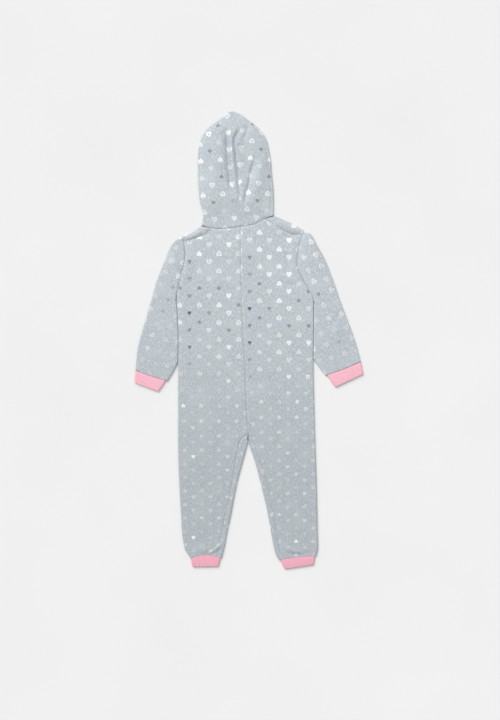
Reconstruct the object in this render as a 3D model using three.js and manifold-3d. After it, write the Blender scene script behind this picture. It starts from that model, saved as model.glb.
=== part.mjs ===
// A child's hooded one-piece pajama, laid out flat on its front with the back up.
// Millimetres, +Z up, +Y from the ankles to the hood. Left and right are the wearer's.
// Tables give x from the middle of the laid-out width and y from the lowest hem.
import * as THREE from "three";
import { mergeVertices } from "three/addons/utils/BufferGeometryUtils.js";
import Module from "manifold-3d";

// Driving sizes
const CLOTH = 1.6; // wall of the brushed jersey
const FOLD_HEIGHT = 5.2; // two layers at a side fold, with the air between them
const FOLD_RADIUS = FOLD_HEIGHT / 2;
const LOWEST_TOP = 3.6; // least height of the upper face where a crease presses it down
const SEAM_GAP = 0.2; // each panel stops this far from its seam line
const CUFF_GAP = 0.45; // between a cuff and the panels it is sewn to
const SIDE_CLEARANCE = 0.5; // between a sleeve and the side that it lies beside
const CUFF_HEIGHT = 5.6;
const CUFF_WALL = 2.2;
const CUFF_RIBS = 40; // ribs round each cuff
const RIB_DEPTH = 0.5;
const HOOD_DOME = 8; // rise of the empty hood above a flat fold
const NECK_DROP = 45; // the front neckline lies this far below the back one
const ZIP_HALF_SLOT = 4.5;
const LEAST_TRIANGLE = 0.3; // a quad is cut the other way where a triangle would be thinner

const FABRIC_COLOUR = 0xb9c3c8;
const CUFF_COLOUR = 0xf6b0c4;
const ZIP_COLOUR = 0xe9ebee;
const CLOTH_FINISH = { roughness: 0.95, metalness: 0 };
const METAL_FINISH = { roughness: 0.4, metalness: 0.6 };

// Outer edges of the legs and body, from the ankles to the armpits.
const SIDE_EDGES = [
  { y: 18, left: -140, right: 162 },
  { y: 32, left: -146.5, right: 165 },
  { y: 47, left: -156, right: 169 },
  { y: 62, left: -159.5, right: 169.5 },
  { y: 91, left: -163.5, right: 168.5 },
  { y: 135, left: -166, right: 167.5 },
  { y: 223, left: -171, right: 165.5 },
  { y: 296, left: -173, right: 163 },
  { y: 385, left: -173, right: 160.5 },
  { y: 502, left: -173, right: 158 },
  { y: 578, left: -172.5, right: 158.5 },
  { y: 627, left: -175.2, right: 158.8 },
  { y: 660, left: -177, right: 158.8 },
];

// Inner folds of the legs, and the inseams, which lie a little way in on the back.
const LEG_EDGES = [
  { y: 18, left: -68, right: 77, leftSeam: -80, rightSeam: 88 },
  { y: 32, left: -65, right: 67.5, leftSeam: -77, rightSeam: 80 },
  { y: 62, left: -58, right: 60, leftSeam: -70, rightSeam: 74 },
  { y: 91, left: -53, right: 54.5, leftSeam: -65, rightSeam: 68 },
  { y: 135, left: -43.5, right: 47, leftSeam: -56, rightSeam: 61 },
  { y: 179, left: -35.5, right: 37, leftSeam: -47, rightSeam: 53 },
  { y: 223, left: -26, right: 26, leftSeam: -38, rightSeam: 44 },
  { y: 267, left: -14, right: 14, leftSeam: -31.5, rightSeam: 29 },
  { y: 296, left: -6.2, right: 4, leftSeam: -26, rightSeam: 17.5 },
  { y: 314, left: -1.6, right: -1.6, leftSeam: -22, rightSeam: 10 },
];
const CROTCH_HEIGHT = 314; // where the inner folds of the legs meet
const JUNCTION_HEIGHT = 332; // where the inseams meet the centre back seam

// Centre back seam, and the centre front below it.
const CENTRE_SEAM = [
  { y: 300, x: -1.6 },
  { y: 332, x: -2 },
  { y: 421, x: -6.6 },
  { y: 514, x: -9.4 },
  { y: 588, x: -14.2 },
  { y: 644, x: -16.8 },
  { y: 757, x: -19.6 },
  { y: 839, x: -19.8 },
];
const ZIP_BOTTOM = 380;

// Heights of the rows of the body between the ankle and the armpit.
const LEG_ROWS = [48, 64, 84, 110, 140, 172, 204, 236, 266, 292, CROTCH_HEIGHT];
const TORSO_ROWS = [JUNCTION_HEIGHT, 354, ZIP_BOTTOM, 412, 446, 478, 509, 538, 568, 598, 628];

// Ankle seams: inner and outer corner of the leg, and how far the seam bows up between them.
const ANKLES = {
  left: { inner: { x: -67, y: 27 }, outer: { x: -142, y: 26 }, bow: 8 },
  right: { inner: { x: 75, y: 22 }, outer: { x: 163, y: 32 }, bow: 2.5 },
};

// Armhole seams from the armpit to the shoulder fold.
const ARMHOLES = {
  left: [
    { x: -176.8, y: 656.6 },
    { x: -175.6, y: 681 },
    { x: -170, y: 700.7 },
    { x: -165, y: 722.8 },
    { x: -158.5, y: 747.3 },
    { x: -155.3, y: 769.3 },
    { x: -157.8, y: 793.8 },
    { x: -162.2, y: 814.4 },
  ],
  right: [
    { x: 158.8, y: 651.7 },
    { x: 155.8, y: 668 },
    { x: 144, y: 688.5 },
    { x: 129.5, y: 715.4 },
    { x: 119.2, y: 742.4 },
    { x: 120.8, y: 771.8 },
    { x: 126.4, y: 801.2 },
    { x: 135.5, y: 828.6 },
  ],
};

// Back neckline from the centre seam to the shoulder fold.
// The shoulder seam starts at the last point but one.
const NECKLINES = {
  left: [
    { x: -19.8, y: 838.6 },
    { x: -29, y: 837.3 },
    { x: -40, y: 835.4 },
    { x: -52, y: 833.8 },
    { x: -64, y: 833.4 },
    { x: -77, y: 833.5 },
    { x: -90, y: 834.8 },
    { x: -115.2, y: 841.8 },
  ],
  right: [
    { x: -19.8, y: 838.6 },
    { x: -10.5, y: 840.4 },
    { x: -1.7, y: 841.8 },
    { x: 8, y: 843.2 },
    { x: 17, y: 845.2 },
    { x: 28, y: 851.5 },
    { x: 40, y: 857.8 },
    { x: 60.5, y: 865.8 },
  ],
};

// Between the neck and the armhole: points of the shoulder fold, and of the shoulder seam behind it.
const SHOULDER_FOLDS = {
  left: [
    { x: -129, y: 831 },
    { x: -145, y: 820.5 },
  ],
  right: [
    { x: 86, y: 855.5 },
    { x: 112, y: 843 },
  ],
};
const SHOULDER_SEAMS = {
  left: [
    { x: -107, y: 820.5 },
    { x: -132, y: 810 },
    { x: -159.7, y: 802.8 },
  ],
  right: [
    { x: 70, y: 838 },
    { x: 101, y: 822 },
    { x: 132, y: 818 },
  ],
};

// Rings of the sleeves from the armhole to the cuff seam: a point of the inner and of the outer fold.
// While the sleeve lies against the body, its inner fold takes its place from the body's side.
// `bow` is how far the middle of a ring stands out from the body.
const SLEEVE_RINGS = {
  left: [
    { besideY: 648, outerX: -177, outerY: 807, bow: 9 },
    { besideY: 640, outerX: -190.5, outerY: 791, bow: 6 },
    { besideY: 628, outerX: -204, outerY: 759 },
    { besideY: 598, outerX: -223, outerY: 712 },
    { besideY: 554, outerX: -240, outerY: 655 },
    { besideY: 509, outerX: -256.5, outerY: 599 },
    { innerX: -184.5, innerY: 485, outerX: -271, outerY: 546 },
    { innerX: -199, innerY: 461, outerX: -277.8, outerY: 487 },
  ],
  right: [
    { besideY: 646, outerX: 152, outerY: 820.5, bow: 9 },
    { besideY: 639, outerX: 166, outerY: 796, bow: 5 },
    { besideY: 628, outerX: 183, outerY: 766 },
    { besideY: 598, outerX: 203, outerY: 717 },
    { besideY: 558, outerX: 222, outerY: 662 },
    { besideY: 516, outerX: 241.5, outerY: 611 },
    { innerX: 171.5, innerY: 496, outerX: 260.5, outerY: 558 },
    { innerX: 187.7, innerY: 474.3, outerX: 274.8, outerY: 507.5 },
  ],
};
const WRIST_BOW = -1.5;
const ARMHOLE_FADE = 8; // how fast the curve of the armhole fades from ring to ring

// Hems of the cuffs.
const CUFF_HEMS = {
  wrist_left: { inner: { x: -221.5, y: 434.9 }, outer: { x: -279.8, y: 456.7 } },
  wrist_right: { inner: { x: 211.4, y: 445.4 }, outer: { x: 281, y: 478.5 } },
  ankle_left: { inner: { x: -74.2, y: 6.4 }, outer: { x: -138.2, y: 5.6 } },
  ankle_right: { inner: { x: 87.7, y: 0 }, outer: { x: 159, y: 11 } },
};

// Side folds and centre seam of the hood, and how far its front edge stands from the middle underneath.
const HOOD_ROWS = [
  { y: 905, left: -120.5, right: 60.5, centre: -22.8, opening: 40 },
  { y: 930, left: -122.8, right: 59.8, centre: -24.5, opening: 44 },
  { y: 955, left: -124, right: 57.5, centre: -26, opening: 46 },
  { y: 980, left: -124.4, right: 55, centre: -28.5, opening: 46 },
  { y: 1005, left: -124.2, right: 53.2, centre: -31, opening: 44 },
  { y: 1030, left: -123, right: 48.5, centre: -33, opening: 38 },
  { y: 1050, left: -118.3, right: 43.8, centre: -33.5, opening: 28 },
  { y: 1068, left: -109, right: 35, centre: -32.5, opening: 0 },
  { y: 1083, left: -96, right: 20.5, centre: -32, opening: 0 },
  { y: 1095, left: -80, right: 6, centre: -33, opening: 0 },
  { y: 1104, left: -67, right: -5.5, centre: -34.5, opening: 0 },
  { y: 1112, left: -56, right: -16.5, centre: -36.5, opening: 0 },
  { y: 1118.5, left: -49, right: -30, centre: -39, opening: 0 },
  { y: 1121.6, left: -45, right: -34, centre: -39.5, opening: 0 },
];
const HOOD_NECK_ROWS = 4; // rows between the neckline and the first row above
const HOOD_SPLIT = 2; // hood columns for each stretch of the neckline

// Folds of the upper face: a crest (positive) or a crease (negative) along a path.
const FOLDS = [
  { name: "left shoulder roll", height: 2.4, width: 10, path: [-100, 832, -130, 819, -160, 808] },
  { name: "left shoulder crease", height: -1.4, width: 9, path: [-92, 824, -132, 808, -160, 800] },
  { name: "right shoulder roll", height: 2.6, width: 12, path: [70, 849, 100, 838, 130, 829] },
  { name: "right shoulder crease", height: -1.4, width: 9, path: [92, 817, 118, 818, 132, 820] },
  { name: "left armhole pull", height: -1.5, width: 9, path: [-181, 786, -159, 750] },
  { name: "left sleeve head", height: 2.2, width: 14, path: [-176, 770, -186, 730] },
  { name: "left armhole roll", height: 1.8, width: 10, path: [-146, 780, -150, 735, -160, 700] },
  { name: "right armhole roll", height: 2.4, width: 10, path: [110, 792, 107, 750, 112, 722] },
  { name: "right armhole crease", height: -1.4, width: 9, path: [128, 772, 131, 740, 146, 696] },
  { name: "right sleeve head", height: 2.8, width: 12, path: [144, 812, 155, 789, 167, 756, 180, 726] },
  { name: "right chest dimple", height: -1.2, width: 10, path: [96, 766, 101, 731] },
  { name: "left elbow", height: 1.6, width: 16, path: [-222, 610, -205, 560] },
  { name: "right elbow", height: 1.6, width: 16, path: [205, 620, 222, 570] },
  { name: "left crotch gather", height: -1.2, width: 8, path: [-19, 372, -12, 340] },
  { name: "right crotch gather", height: -1.2, width: 8, path: [10, 366, 4, 338] },
  { name: "seat", height: 1.5, width: 26, path: [-70, 430, 60, 430] },
  { name: "left ankle gather", height: 2.4, width: 9, path: [-74, 58, -99, 46, -124, 48] },
  { name: "right ankle gather", height: 2.8, width: 9, path: [96, 50, 138, 50] },
  { name: "slider rise", height: 2, width: 26, path: [-20, 800, -20, 776] },
  { name: "hood left trough", height: -5, width: 10, path: [-56, 1060, -51, 1022, -48, 975, -36, 925] },
  { name: "hood pleat", height: 3, width: 8, path: [-43, 1056, -40, 1010, -36, 962, -30, 930] },
  { name: "hood seam", height: -2.5, width: 7, path: [-32, 1084, -33, 1052, -27, 960, -21, 880] },
  { name: "hood sunken side", height: -3.5, width: 17, path: [-10, 1076, -10, 1010, -11, 940] },
  { name: "hood right crease", height: -3, width: 9, path: [18, 1000, 5, 965, -3, 924, -12, 893] },
  { name: "hood right crest", height: 2.5, width: 12, path: [34, 1010, 24, 960, 14, 915] },
  { name: "hood left crest", height: 2, width: 14, path: [-84, 1040, -82, 970, -78, 905] },
];

// Zip: tape with its chain, slider and pull tab, all on the underside.
const ZIP = {
  tapeHalfWidth: 4.1,
  tapeLow: 2,
  tapeHigh: 3,
  chainHalfWidth: 1.9,
  chainLow: 1.5,
  topY: 775.6,
  steps: 16,
};
const SLIDER = { y: 779, length: 11, halfWidth: 4, low: 0.9, high: 4.3, corner: 1.6 };
const EAR = { inside: 2.65, outside: 3.6, reach: 2.9, low: 0.25, high: 2 };
const PULL = { pivotY: 777.5, pivotZ: 0.85, barrel: 0.6, halfThickness: 0.5, length: 20, halfWidth: 2.4 };

const wasm = await Module();
wasm.setup();

const { clamp, lerp, degToRad } = THREE.MathUtils;

function between(a, b, t) {
  return { x: lerp(a.x, b.x, t), y: lerp(a.y, b.y, t) };
}

function shifted(point, dx, dy) {
  return { x: point.x + dx, y: point.y + dy };
}

function direction(from, to) {
  const length = Math.hypot(to.x - from.x, to.y - from.y);
  return { x: (to.x - from.x) / length, y: (to.y - from.y) / length };
}

// A smooth curve through one named column of a table, as a function of y.
function track(rows, column) {
  const slopes = rows.map((row, i) => {
    const before = rows[Math.max(i - 1, 0)];
    const after = rows[Math.min(i + 1, rows.length - 1)];
    return (after[column] - before[column]) / (after.y - before.y);
  });
  return (y) => {
    let i = 0;
    while (i < rows.length - 2 && y > rows[i + 1].y) i += 1;
    const step = rows[i + 1].y - rows[i].y;
    const t = clamp((y - rows[i].y) / step, 0, 1);
    const ease = t * t * (3 - 2 * t);
    return (
      lerp(rows[i][column], rows[i + 1][column], ease) +
      slopes[i] * step * t * (1 - t) * (1 - t) -
      slopes[i + 1] * step * t * t * (1 - t)
    );
  };
}

const centreX = track(CENTRE_SEAM, "x");
const hoodLeftX = track(HOOD_ROWS, "left");
const hoodRightX = track(HOOD_ROWS, "right");

// Distance from a point to a path given as x, y, x, y, ...
function distanceToPath(x, y, path) {
  let nearest = Infinity;
  for (let i = 0; i + 3 < path.length; i += 2) {
    const [ax, ay, bx, by] = path.slice(i, i + 4);
    const span = (bx - ax) ** 2 + (by - ay) ** 2;
    const t = clamp(((x - ax) * (bx - ax) + (y - ay) * (by - ay)) / span, 0, 1);
    nearest = Math.min(nearest, Math.hypot(x - lerp(ax, bx, t), y - lerp(ay, by, t)));
  }
  return nearest;
}

// The empty hood stands up in a low dome, flat at the neck, at its side folds and at its peak.
function domeHeight(x, y) {
  const neckY = 850;
  const peakY = 1121;
  if (y <= neckY) return 0;
  const across = (x - hoodLeftX(y)) / (hoodRightX(y) - hoodLeftX(y));
  const sideways = 1 - Math.abs(2 * clamp(across, 0, 1) - 1) ** 3;
  const upwards = Math.min((y - neckY) / 60, (peakY - y) / 50, 1);
  return HOOD_DOME * sideways * clamp(upwards, 0, 1);
}

// Height of the upper face over the floor.
function topHeight(x, y) {
  let height = FOLD_HEIGHT + domeHeight(x, y);
  for (const fold of FOLDS) {
    height += fold.height * Math.exp(-((distanceToPath(x, y, fold.path) / fold.width) ** 2));
  }
  return Math.max(height, LOWEST_TOP);
}

// Stations of cloth: a point of the outer face with the point of the inner face behind it.
function onTop({ x, y }, height = topHeight(x, y)) {
  return { outer: [x, y, height], inner: [x, y, height - CLOTH] };
}

function onFloor({ x, y }) {
  return { outer: [x, y, 0], inner: [x, y, CLOTH] };
}

// Round a fold: 90 degrees is its upper side, -90 its under side, and `out` points away from the cloth.
function roundFold(edge, out, degrees, radius = FOLD_RADIUS, wall = CLOTH) {
  const reach = Math.cos(degToRad(degrees));
  const rise = Math.sin(degToRad(degrees));
  const at = (r) => {
    const away = reach * r - radius;
    return [edge.x + out.x * away, edge.y + out.y * away, radius + rise * r];
  };
  return { outer: at(radius), inner: at(radius - wall) };
}

// The line where a fold starts, one fold radius in from its edge.
function foldStart(edge, out) {
  return shifted(edge, -out.x * FOLD_RADIUS, -out.y * FOLD_RADIUS);
}

// Points of a surface patch between four border lines that meet at their corners.
function patch(low, high, near, far, across) {
  const last = near.length - 1;
  const end = low.length - 1;
  return near.map((nearPoint, row) => {
    const v = row / last;
    return low.map((lowPoint, column) => {
      const u = across ? across[column] : column / end;
      const along = between(nearPoint, far[row], u);
      const upright = between(lowPoint, high[column], v);
      const corners = between(between(low[0], low[end], u), between(high[0], high[end], u), v);
      return { x: along.x + upright.x - corners.x, y: along.y + upright.y - corners.y };
    });
  });
}

function fractionsAlongX(line) {
  const first = line[0].x;
  const span = line[line.length - 1].x - first;
  return line.map((point) => (point.x - first) / span);
}

function meshFrom(name, positions, index, colour, finish = CLOTH_FINISH) {
  let volume = 0;
  const vertex = (i) => new THREE.Vector3().fromArray(positions, 3 * i);
  for (let i = 0; i < index.length; i += 3) {
    volume += vertex(index[i]).dot(vertex(index[i + 1]).cross(vertex(index[i + 2])));
  }
  const geometry = new THREE.BufferGeometry();
  geometry.setAttribute("position", new THREE.BufferAttribute(new Float32Array(positions), 3));
  geometry.setIndex(volume < 0 ? index.slice().reverse() : index);
  const mesh = new THREE.Mesh(geometry, new THREE.MeshStandardMaterial({ color: colour, ...finish }));
  mesh.name = name;
  return mesh;
}

// Height of a triangle over its longest side.
function leastHeight([a, b, c]) {
  const longest = Math.max(a.distanceTo(b), b.distanceTo(c), c.distanceTo(a));
  return new THREE.Triangle(a, b, c).getArea() * (2 / longest);
}

// A cloth panel as one closed solid, from a grid of stations. `covers` says which cells are cloth, and
// `closed` joins the last column to the first, as on a tube.
function clothPanel(name, grid, { covers = () => true, closed = false, colour = FABRIC_COLOUR } = {}) {
  const columns = grid[0].length;
  const cellColumns = closed ? columns : columns - 1;
  const positions = [];
  for (const station of grid.flat()) {
    positions.push(...station.outer, ...station.inner);
  }
  const outer = (row, column) => 2 * (row * columns + (column % columns));
  const isCloth = (row, column) => {
    if (row < 0 || row >= grid.length - 1) return false;
    if (closed) return covers(row, (column + columns) % columns);
    return column >= 0 && column < cellColumns && covers(row, column);
  };
  const index = [];
  const vertex = (i) => new THREE.Vector3().fromArray(positions, 3 * i);
  const thinnest = (cut) => Math.min(...cut.map((corners) => leastHeight(corners.map(vertex))));
  const quad = (a, b, c, d) => {
    const cut = [[a, b, c], [a, c, d]];
    const otherCut = [[a, b, d], [b, c, d]];
    const isOtherBetter = thinnest(cut) < LEAST_TRIANGLE && thinnest(otherCut) > thinnest(cut);
    index.push(...(isOtherBetter ? otherCut : cut).flat());
  };
  const wall = (a, b) => quad(b, a, a + 1, b + 1);
  for (let row = 0; row < grid.length - 1; row += 1) {
    for (let column = 0; column < cellColumns; column += 1) {
      if (!isCloth(row, column)) continue;
      const a = outer(row, column);
      const b = outer(row, column + 1);
      const c = outer(row + 1, column + 1);
      const d = outer(row + 1, column);
      quad(a, b, c, d);
      quad(a + 1, d + 1, c + 1, b + 1);
      if (!isCloth(row - 1, column)) wall(a, b);
      if (!isCloth(row, column + 1)) wall(b, c);
      if (!isCloth(row + 1, column)) wall(c, d);
      if (!isCloth(row, column - 1)) wall(d, a);
    }
  }
  return meshFrom(name, positions, index, colour);
}

// Lines and edges that the panels of one side share. `away` is -1 on the left and 1 on the right.
function sideOf(side) {
  const away = side === "left" ? -1 : 1;
  const neckline = NECKLINES[side];
  const neckCorner = neckline[neckline.length - 1];
  const armhole = ARMHOLES[side];
  const frontCentre = { x: centreX(neckline[0].y - NECK_DROP), y: neckline[0].y - NECK_DROP };
  const frontZip = shifted(frontCentre, away * ZIP_HALF_SLOT, 0);
  const frontNeckline = [0, 0.25, 0.5, 0.75, 1].map((t) => ({
    x: lerp(frontZip.x, neckCorner.x, t),
    y: lerp(frontZip.y, neckCorner.y, t * t),
  }));
  return {
    side,
    away,
    neckline,
    neckCorner,
    armhole,
    frontNeckline,
    outerX: track(SIDE_EDGES, side),
    innerX: track(LEG_EDGES, side),
    inseamX: track(LEG_EDGES, side + "Seam"),
    outward: { x: away, y: 0 },
    inward: { x: -away, y: 0 },
  };
}

// A seam line across the leg or sleeve end between two corners, bowed at right angles to them.
function bowed(inner, outer, bow) {
  const run = direction(inner, outer);
  const up = run.x < 0 ? { x: run.y, y: -run.x } : { x: -run.y, y: run.x };
  return (t) => {
    const lift = 4 * bow * t * (1 - t);
    return shifted(between(inner, outer, t), up.x * lift, up.y * lift);
  };
}

function ankleSeamY(side, x) {
  const { inner, outer, bow } = ANKLES[side];
  return bowed(inner, outer, bow)((x - inner.x) / (outer.x - inner.x)).y;
}

const ROW_HEIGHTS = [...LEG_ROWS, ...TORSO_ROWS];
const CROTCH_ROW = 1 + ROW_HEIGHTS.indexOf(CROTCH_HEIGHT);
const JUNCTION_ROW = 1 + ROW_HEIGHTS.indexOf(JUNCTION_HEIGHT);
const ARMPIT_ROW = 1 + ROW_HEIGHTS.length;

// The body's side as its panels have it: straight between their rows.
function bodySideX({ outerX, armhole }, y) {
  const rows = [...ROW_HEIGHTS.map((rowY) => ({ x: outerX(rowY), y: rowY })), armhole[0]];
  const i = rows.findIndex((row) => row.y >= y);
  const [below, above] = [rows[i - 1], rows[i]];
  return lerp(below.x, above.x, (y - below.y) / (above.y - below.y));
}

// Plan of a body panel: straight rows from the ankle to the armpit, then a patch up to the top line.
function bodyPlan(edges, innerLine, topLine, armholeLine, outerInset) {
  const { side, armhole, outerX, away } = edges;
  const across = fractionsAlongX(topLine);
  const { inner, outer } = ANKLES[side];
  const ankleRow = across.map((u) => {
    const x = lerp(innerLine(inner.y), outer.x - away * outerInset, u);
    return { x, y: ankleSeamY(side, x) };
  });
  const near = ROW_HEIGHTS.map((y) => ({ x: innerLine(y), y }));
  const far = ROW_HEIGHTS.map((y) => ({ x: outerX(y) - away * outerInset, y }));
  const armpitNear = { x: innerLine(armhole[0].y), y: armhole[0].y };
  const armpitFar = shifted(armhole[0], -away * outerInset, 0);
  const armpitRow = across.map((u) => between(armpitNear, armpitFar, u));
  const lower = patch(
    ankleRow,
    armpitRow,
    [ankleRow[0], ...near, armpitNear],
    [ankleRow[ankleRow.length - 1], ...far, armpitFar],
    across,
  );
  const steps = armholeLine.length - 1;
  const upperNear = armholeLine.map((point, i) => between(armpitNear, topLine[0], i / steps));
  upperNear.forEach((point, i) => {
    if (i > 0 && i < steps) point.x = innerLine(point.y);
  });
  const upperFar = armholeLine.map((point) => shifted(point, -away * SEAM_GAP, 0));
  upperFar[0] = armpitFar;
  const upper = patch(armpitRow, topLine, upperNear, upperFar, across);
  return [...lower, ...upper.slice(1)];
}

function backPanel(edges) {
  const { side, away, neckline, armhole, inseamX, outward } = edges;
  const innerLine = (y) => {
    if (y <= CROTCH_HEIGHT) return inseamX(y) + away * SEAM_GAP;
    return centreX(y) + away * SEAM_GAP;
  };
  const seam = SHOULDER_SEAMS[side];
  const topLine = [
    ...neckline.slice(0, -1).map((point) => shifted(point, 0, -SEAM_GAP)),
    ...seam.map((point) => shifted(point, 0, -SEAM_GAP)),
  ];
  topLine[0].x += away * SEAM_GAP;
  const shoulderEnd = seam[seam.length - 1];
  topLine[topLine.length - 1] = shifted(shoulderEnd, -away * SEAM_GAP, -SEAM_GAP);
  const armholeLine = [...armhole.slice(0, -1), shifted(shoulderEnd, 0, -SEAM_GAP)];
  const plan = bodyPlan(edges, innerLine, topLine, armholeLine, FOLD_RADIUS);
  const foldAngles = [45, 6];
  const grid = plan.map((row, r) => {
    const edge = shifted(row[row.length - 1], away * FOLD_RADIUS, 0);
    const isFolded = r <= ARMPIT_ROW;
    const stations = row.map((point, c) => {
      const atFold = isFolded && c === row.length - 1;
      return onTop(point, atFold ? FOLD_HEIGHT : topHeight(point.x, point.y));
    });
    return [...stations, ...foldAngles.map((angle) => roundFold(edge, outward, angle))];
  });
  const runColumns = topLine.length - 1;
  const covers = (row, column) => column < runColumns || row < ARMPIT_ROW;
  return clothPanel("back_" + side, grid, { covers });
}

// The front lies on the floor, folds up round the side, the leg and the shoulder, and ends on the back.
function frontPanel(edges) {
  const { side, away, frontNeckline, neckCorner, armhole, innerX, inseamX, outward, inward } = edges;
  const innerLine = (y) => {
    if (y <= CROTCH_HEIGHT) return innerX(y) + away * (SEAM_GAP + FOLD_RADIUS);
    if (y < ZIP_BOTTOM) return centreX(y) + away * SEAM_GAP;
    return centreX(y) + away * ZIP_HALF_SLOT;
  };
  const shoulderEdge = [
    shifted(neckCorner, 0, -SEAM_GAP),
    ...SHOULDER_FOLDS[side],
    shifted(armhole[armhole.length - 1], -away * SEAM_GAP, 0),
  ];
  const shoulderOut = shoulderEdge.map((point, i) => {
    const before = shoulderEdge[Math.max(i - 1, 0)];
    const after = shoulderEdge[Math.min(i + 1, shoulderEdge.length - 1)];
    const run = direction(before, after);
    return { x: -run.y * Math.sign(run.x), y: run.x * Math.sign(run.x) };
  });
  shoulderOut[0] = { x: 0, y: 1 };
  shoulderOut[shoulderOut.length - 1] = direction(armhole[armhole.length - 2], armhole[armhole.length - 1]);
  const shoulderStart = shoulderEdge.map((edge, i) => foldStart(edge, shoulderOut[i]));
  const neckPoints = frontNeckline.slice(0, -1).map((point) => shifted(point, 0, -SEAM_GAP));
  const topLine = [...neckPoints, ...shoulderStart];
  const armholeEnd = shoulderStart[shoulderStart.length - 1];
  const armholeLine = [...armhole.slice(0, -1), shifted(armholeEnd, away * SEAM_GAP, 0)];
  const plan = bodyPlan(edges, innerLine, topLine, armholeLine, FOLD_RADIUS);

  const sideAngles = [-6, -45];
  const innerAngles = [-45, 0, 45, 90];
  const runColumns = topLine.length - 1;
  const grid = plan.map((row, r) => {
    const fold = shifted(row[row.length - 1], away * FOLD_RADIUS, 0);
    const legEdge = shifted(row[0], -away * FOLD_RADIUS, 0);
    const y = row[0].y;
    const seamX = inseamX(y) - away * SEAM_GAP;
    let seamPoint = { x: seamX, y: r === 0 ? ankleSeamY(side, seamX) : y };
    let innerFold = innerAngles.map((angle) => roundFold(legEdge, inward, angle));
    if (r >= JUNCTION_ROW) {
      const tip = JUNCTION_HEIGHT - 1.8;
      seamPoint = { x: centreX(tip) + away * 0.8, y: tip };
      innerFold = innerAngles.map(() => onTop({ x: centreX(tip) + away * SEAM_GAP, y: tip }));
    }
    return [
      ...sideAngles.map((angle) => roundFold(fold, outward, angle)),
      ...row.slice().reverse().map(onFloor),
      ...innerFold,
      onTop(seamPoint),
    ];
  });

  // Rows that carry the shoulder round its fold and down to the shoulder seam.
  const seamLine = [edges.neckline[edges.neckline.length - 2], ...SHOULDER_SEAMS[side]];
  const seamPoints = seamLine.map((point) => shifted(point, 0, SEAM_GAP));
  seamPoints[0] = shifted(seamLine[0], away * 3 * SEAM_GAP, -SEAM_GAP);
  seamPoints[seamPoints.length - 1].x -= away * SEAM_GAP;
  const lastRow = grid[grid.length - 1];
  const firstShoulder = sideAngles.length;
  const shoulderColumns = shoulderEdge.length - 1;
  const shoulderRow = (stationAt) =>
    lastRow.map((station, c) => {
      const i = shoulderColumns - (c - firstShoulder);
      return i >= 0 && i <= shoulderColumns ? stationAt(i) : station;
    });
  for (const angle of [-45, 0, 45, 90]) {
    grid.push(shoulderRow((i) => roundFold(shoulderEdge[i], shoulderOut[i], angle)));
  }
  grid.push(shoulderRow((i) => onTop(seamPoints[i])));

  const covers = (row, column) => {
    const onRun = column >= firstShoulder && column < firstShoulder + runColumns;
    if (row >= plan.length - 1) return column >= firstShoulder && column < firstShoulder + shoulderColumns;
    if (column < firstShoulder) return row < ARMPIT_ROW;
    if (onRun) return true;
    const isSeamStrip = column === grid[0].length - 2;
    return row < (isSeamStrip ? JUNCTION_ROW : CROTCH_ROW);
  };
  return clothPanel("front_" + side, grid, { covers });
}

// A flattened sleeve, set in at the armhole and open at both ends.
function sleeve(edges) {
  const { side, away, armhole } = edges;
  const rings = SLEEVE_RINGS[side];
  const end = armhole.length - 1;
  const last = rings.length;
  const outerLine = rings.map((ring) => ({ x: ring.outerX, y: ring.outerY }));
  const innerEdge = rings.map((ring) => {
    if (ring.innerX !== undefined) return { x: ring.innerX, y: ring.innerY };
    return { x: bodySideX(edges, ring.besideY) + away * SIDE_CLEARANCE, y: ring.besideY };
  });
  innerEdge.unshift(shifted(armhole[0], away * SIDE_CLEARANCE, 0));
  const innerOut = innerEdge.map((point, i) => {
    if (i === last) return direction(outerLine[last - 1], point);
    const along = direction(innerEdge[Math.max(i - 1, 0)], innerEdge[i + 1]);
    return { x: away * along.y, y: -away * along.x };
  });
  const innerStart = innerEdge.map((edge, i) => foldStart(edge, innerOut[i]));
  const armholeLine = armhole.map((point) => shifted(point, away * SEAM_GAP, 0));
  armholeLine[0] = innerStart[0];
  const wristSeam = bowed(innerStart[last], outerLine[last - 1], WRIST_BOW);
  const rows = rings.slice(0, -1).map((ring, i) =>
    armhole.map((point, c) => {
      const u = c / end;
      const straight = between(innerStart[i + 1], outerLine[i], u);
      const chord = between(armholeLine[0], armholeLine[end], u);
      const keep = (1 - (i + 1) / last) ** ARMHOLE_FADE;
      const lean = 4 * away * (ring.bow ?? 0) * u * (1 - u);
      const { x, y } = armholeLine[c];
      return shifted(straight, keep * (x - chord.x) + lean, keep * (y - chord.y));
    }),
  );
  const plan = [armholeLine, ...rows, armhole.map((point, c) => wristSeam(c / end))];
  const foldAngles = [30, -30];
  const grid = plan.map((row, r) => {
    const outerOut = direction(row[end - 1], row[end]);
    const run = row.slice();
    run[end] = foldStart(row[end], outerOut);
    const upper = run.map((point, i) => (i % end === 0 ? onTop(point, FOLD_HEIGHT) : onTop(point)));
    return [
      ...upper,
      ...foldAngles.map((angle) => roundFold(row[end], outerOut, angle)),
      ...run.slice().reverse().map(onFloor),
      ...foldAngles.map((angle) => roundFold(innerEdge[r], innerOut[r], -angle)),
    ];
  });
  return clothPanel("sleeve_" + side, grid, { closed: true });
}

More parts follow.
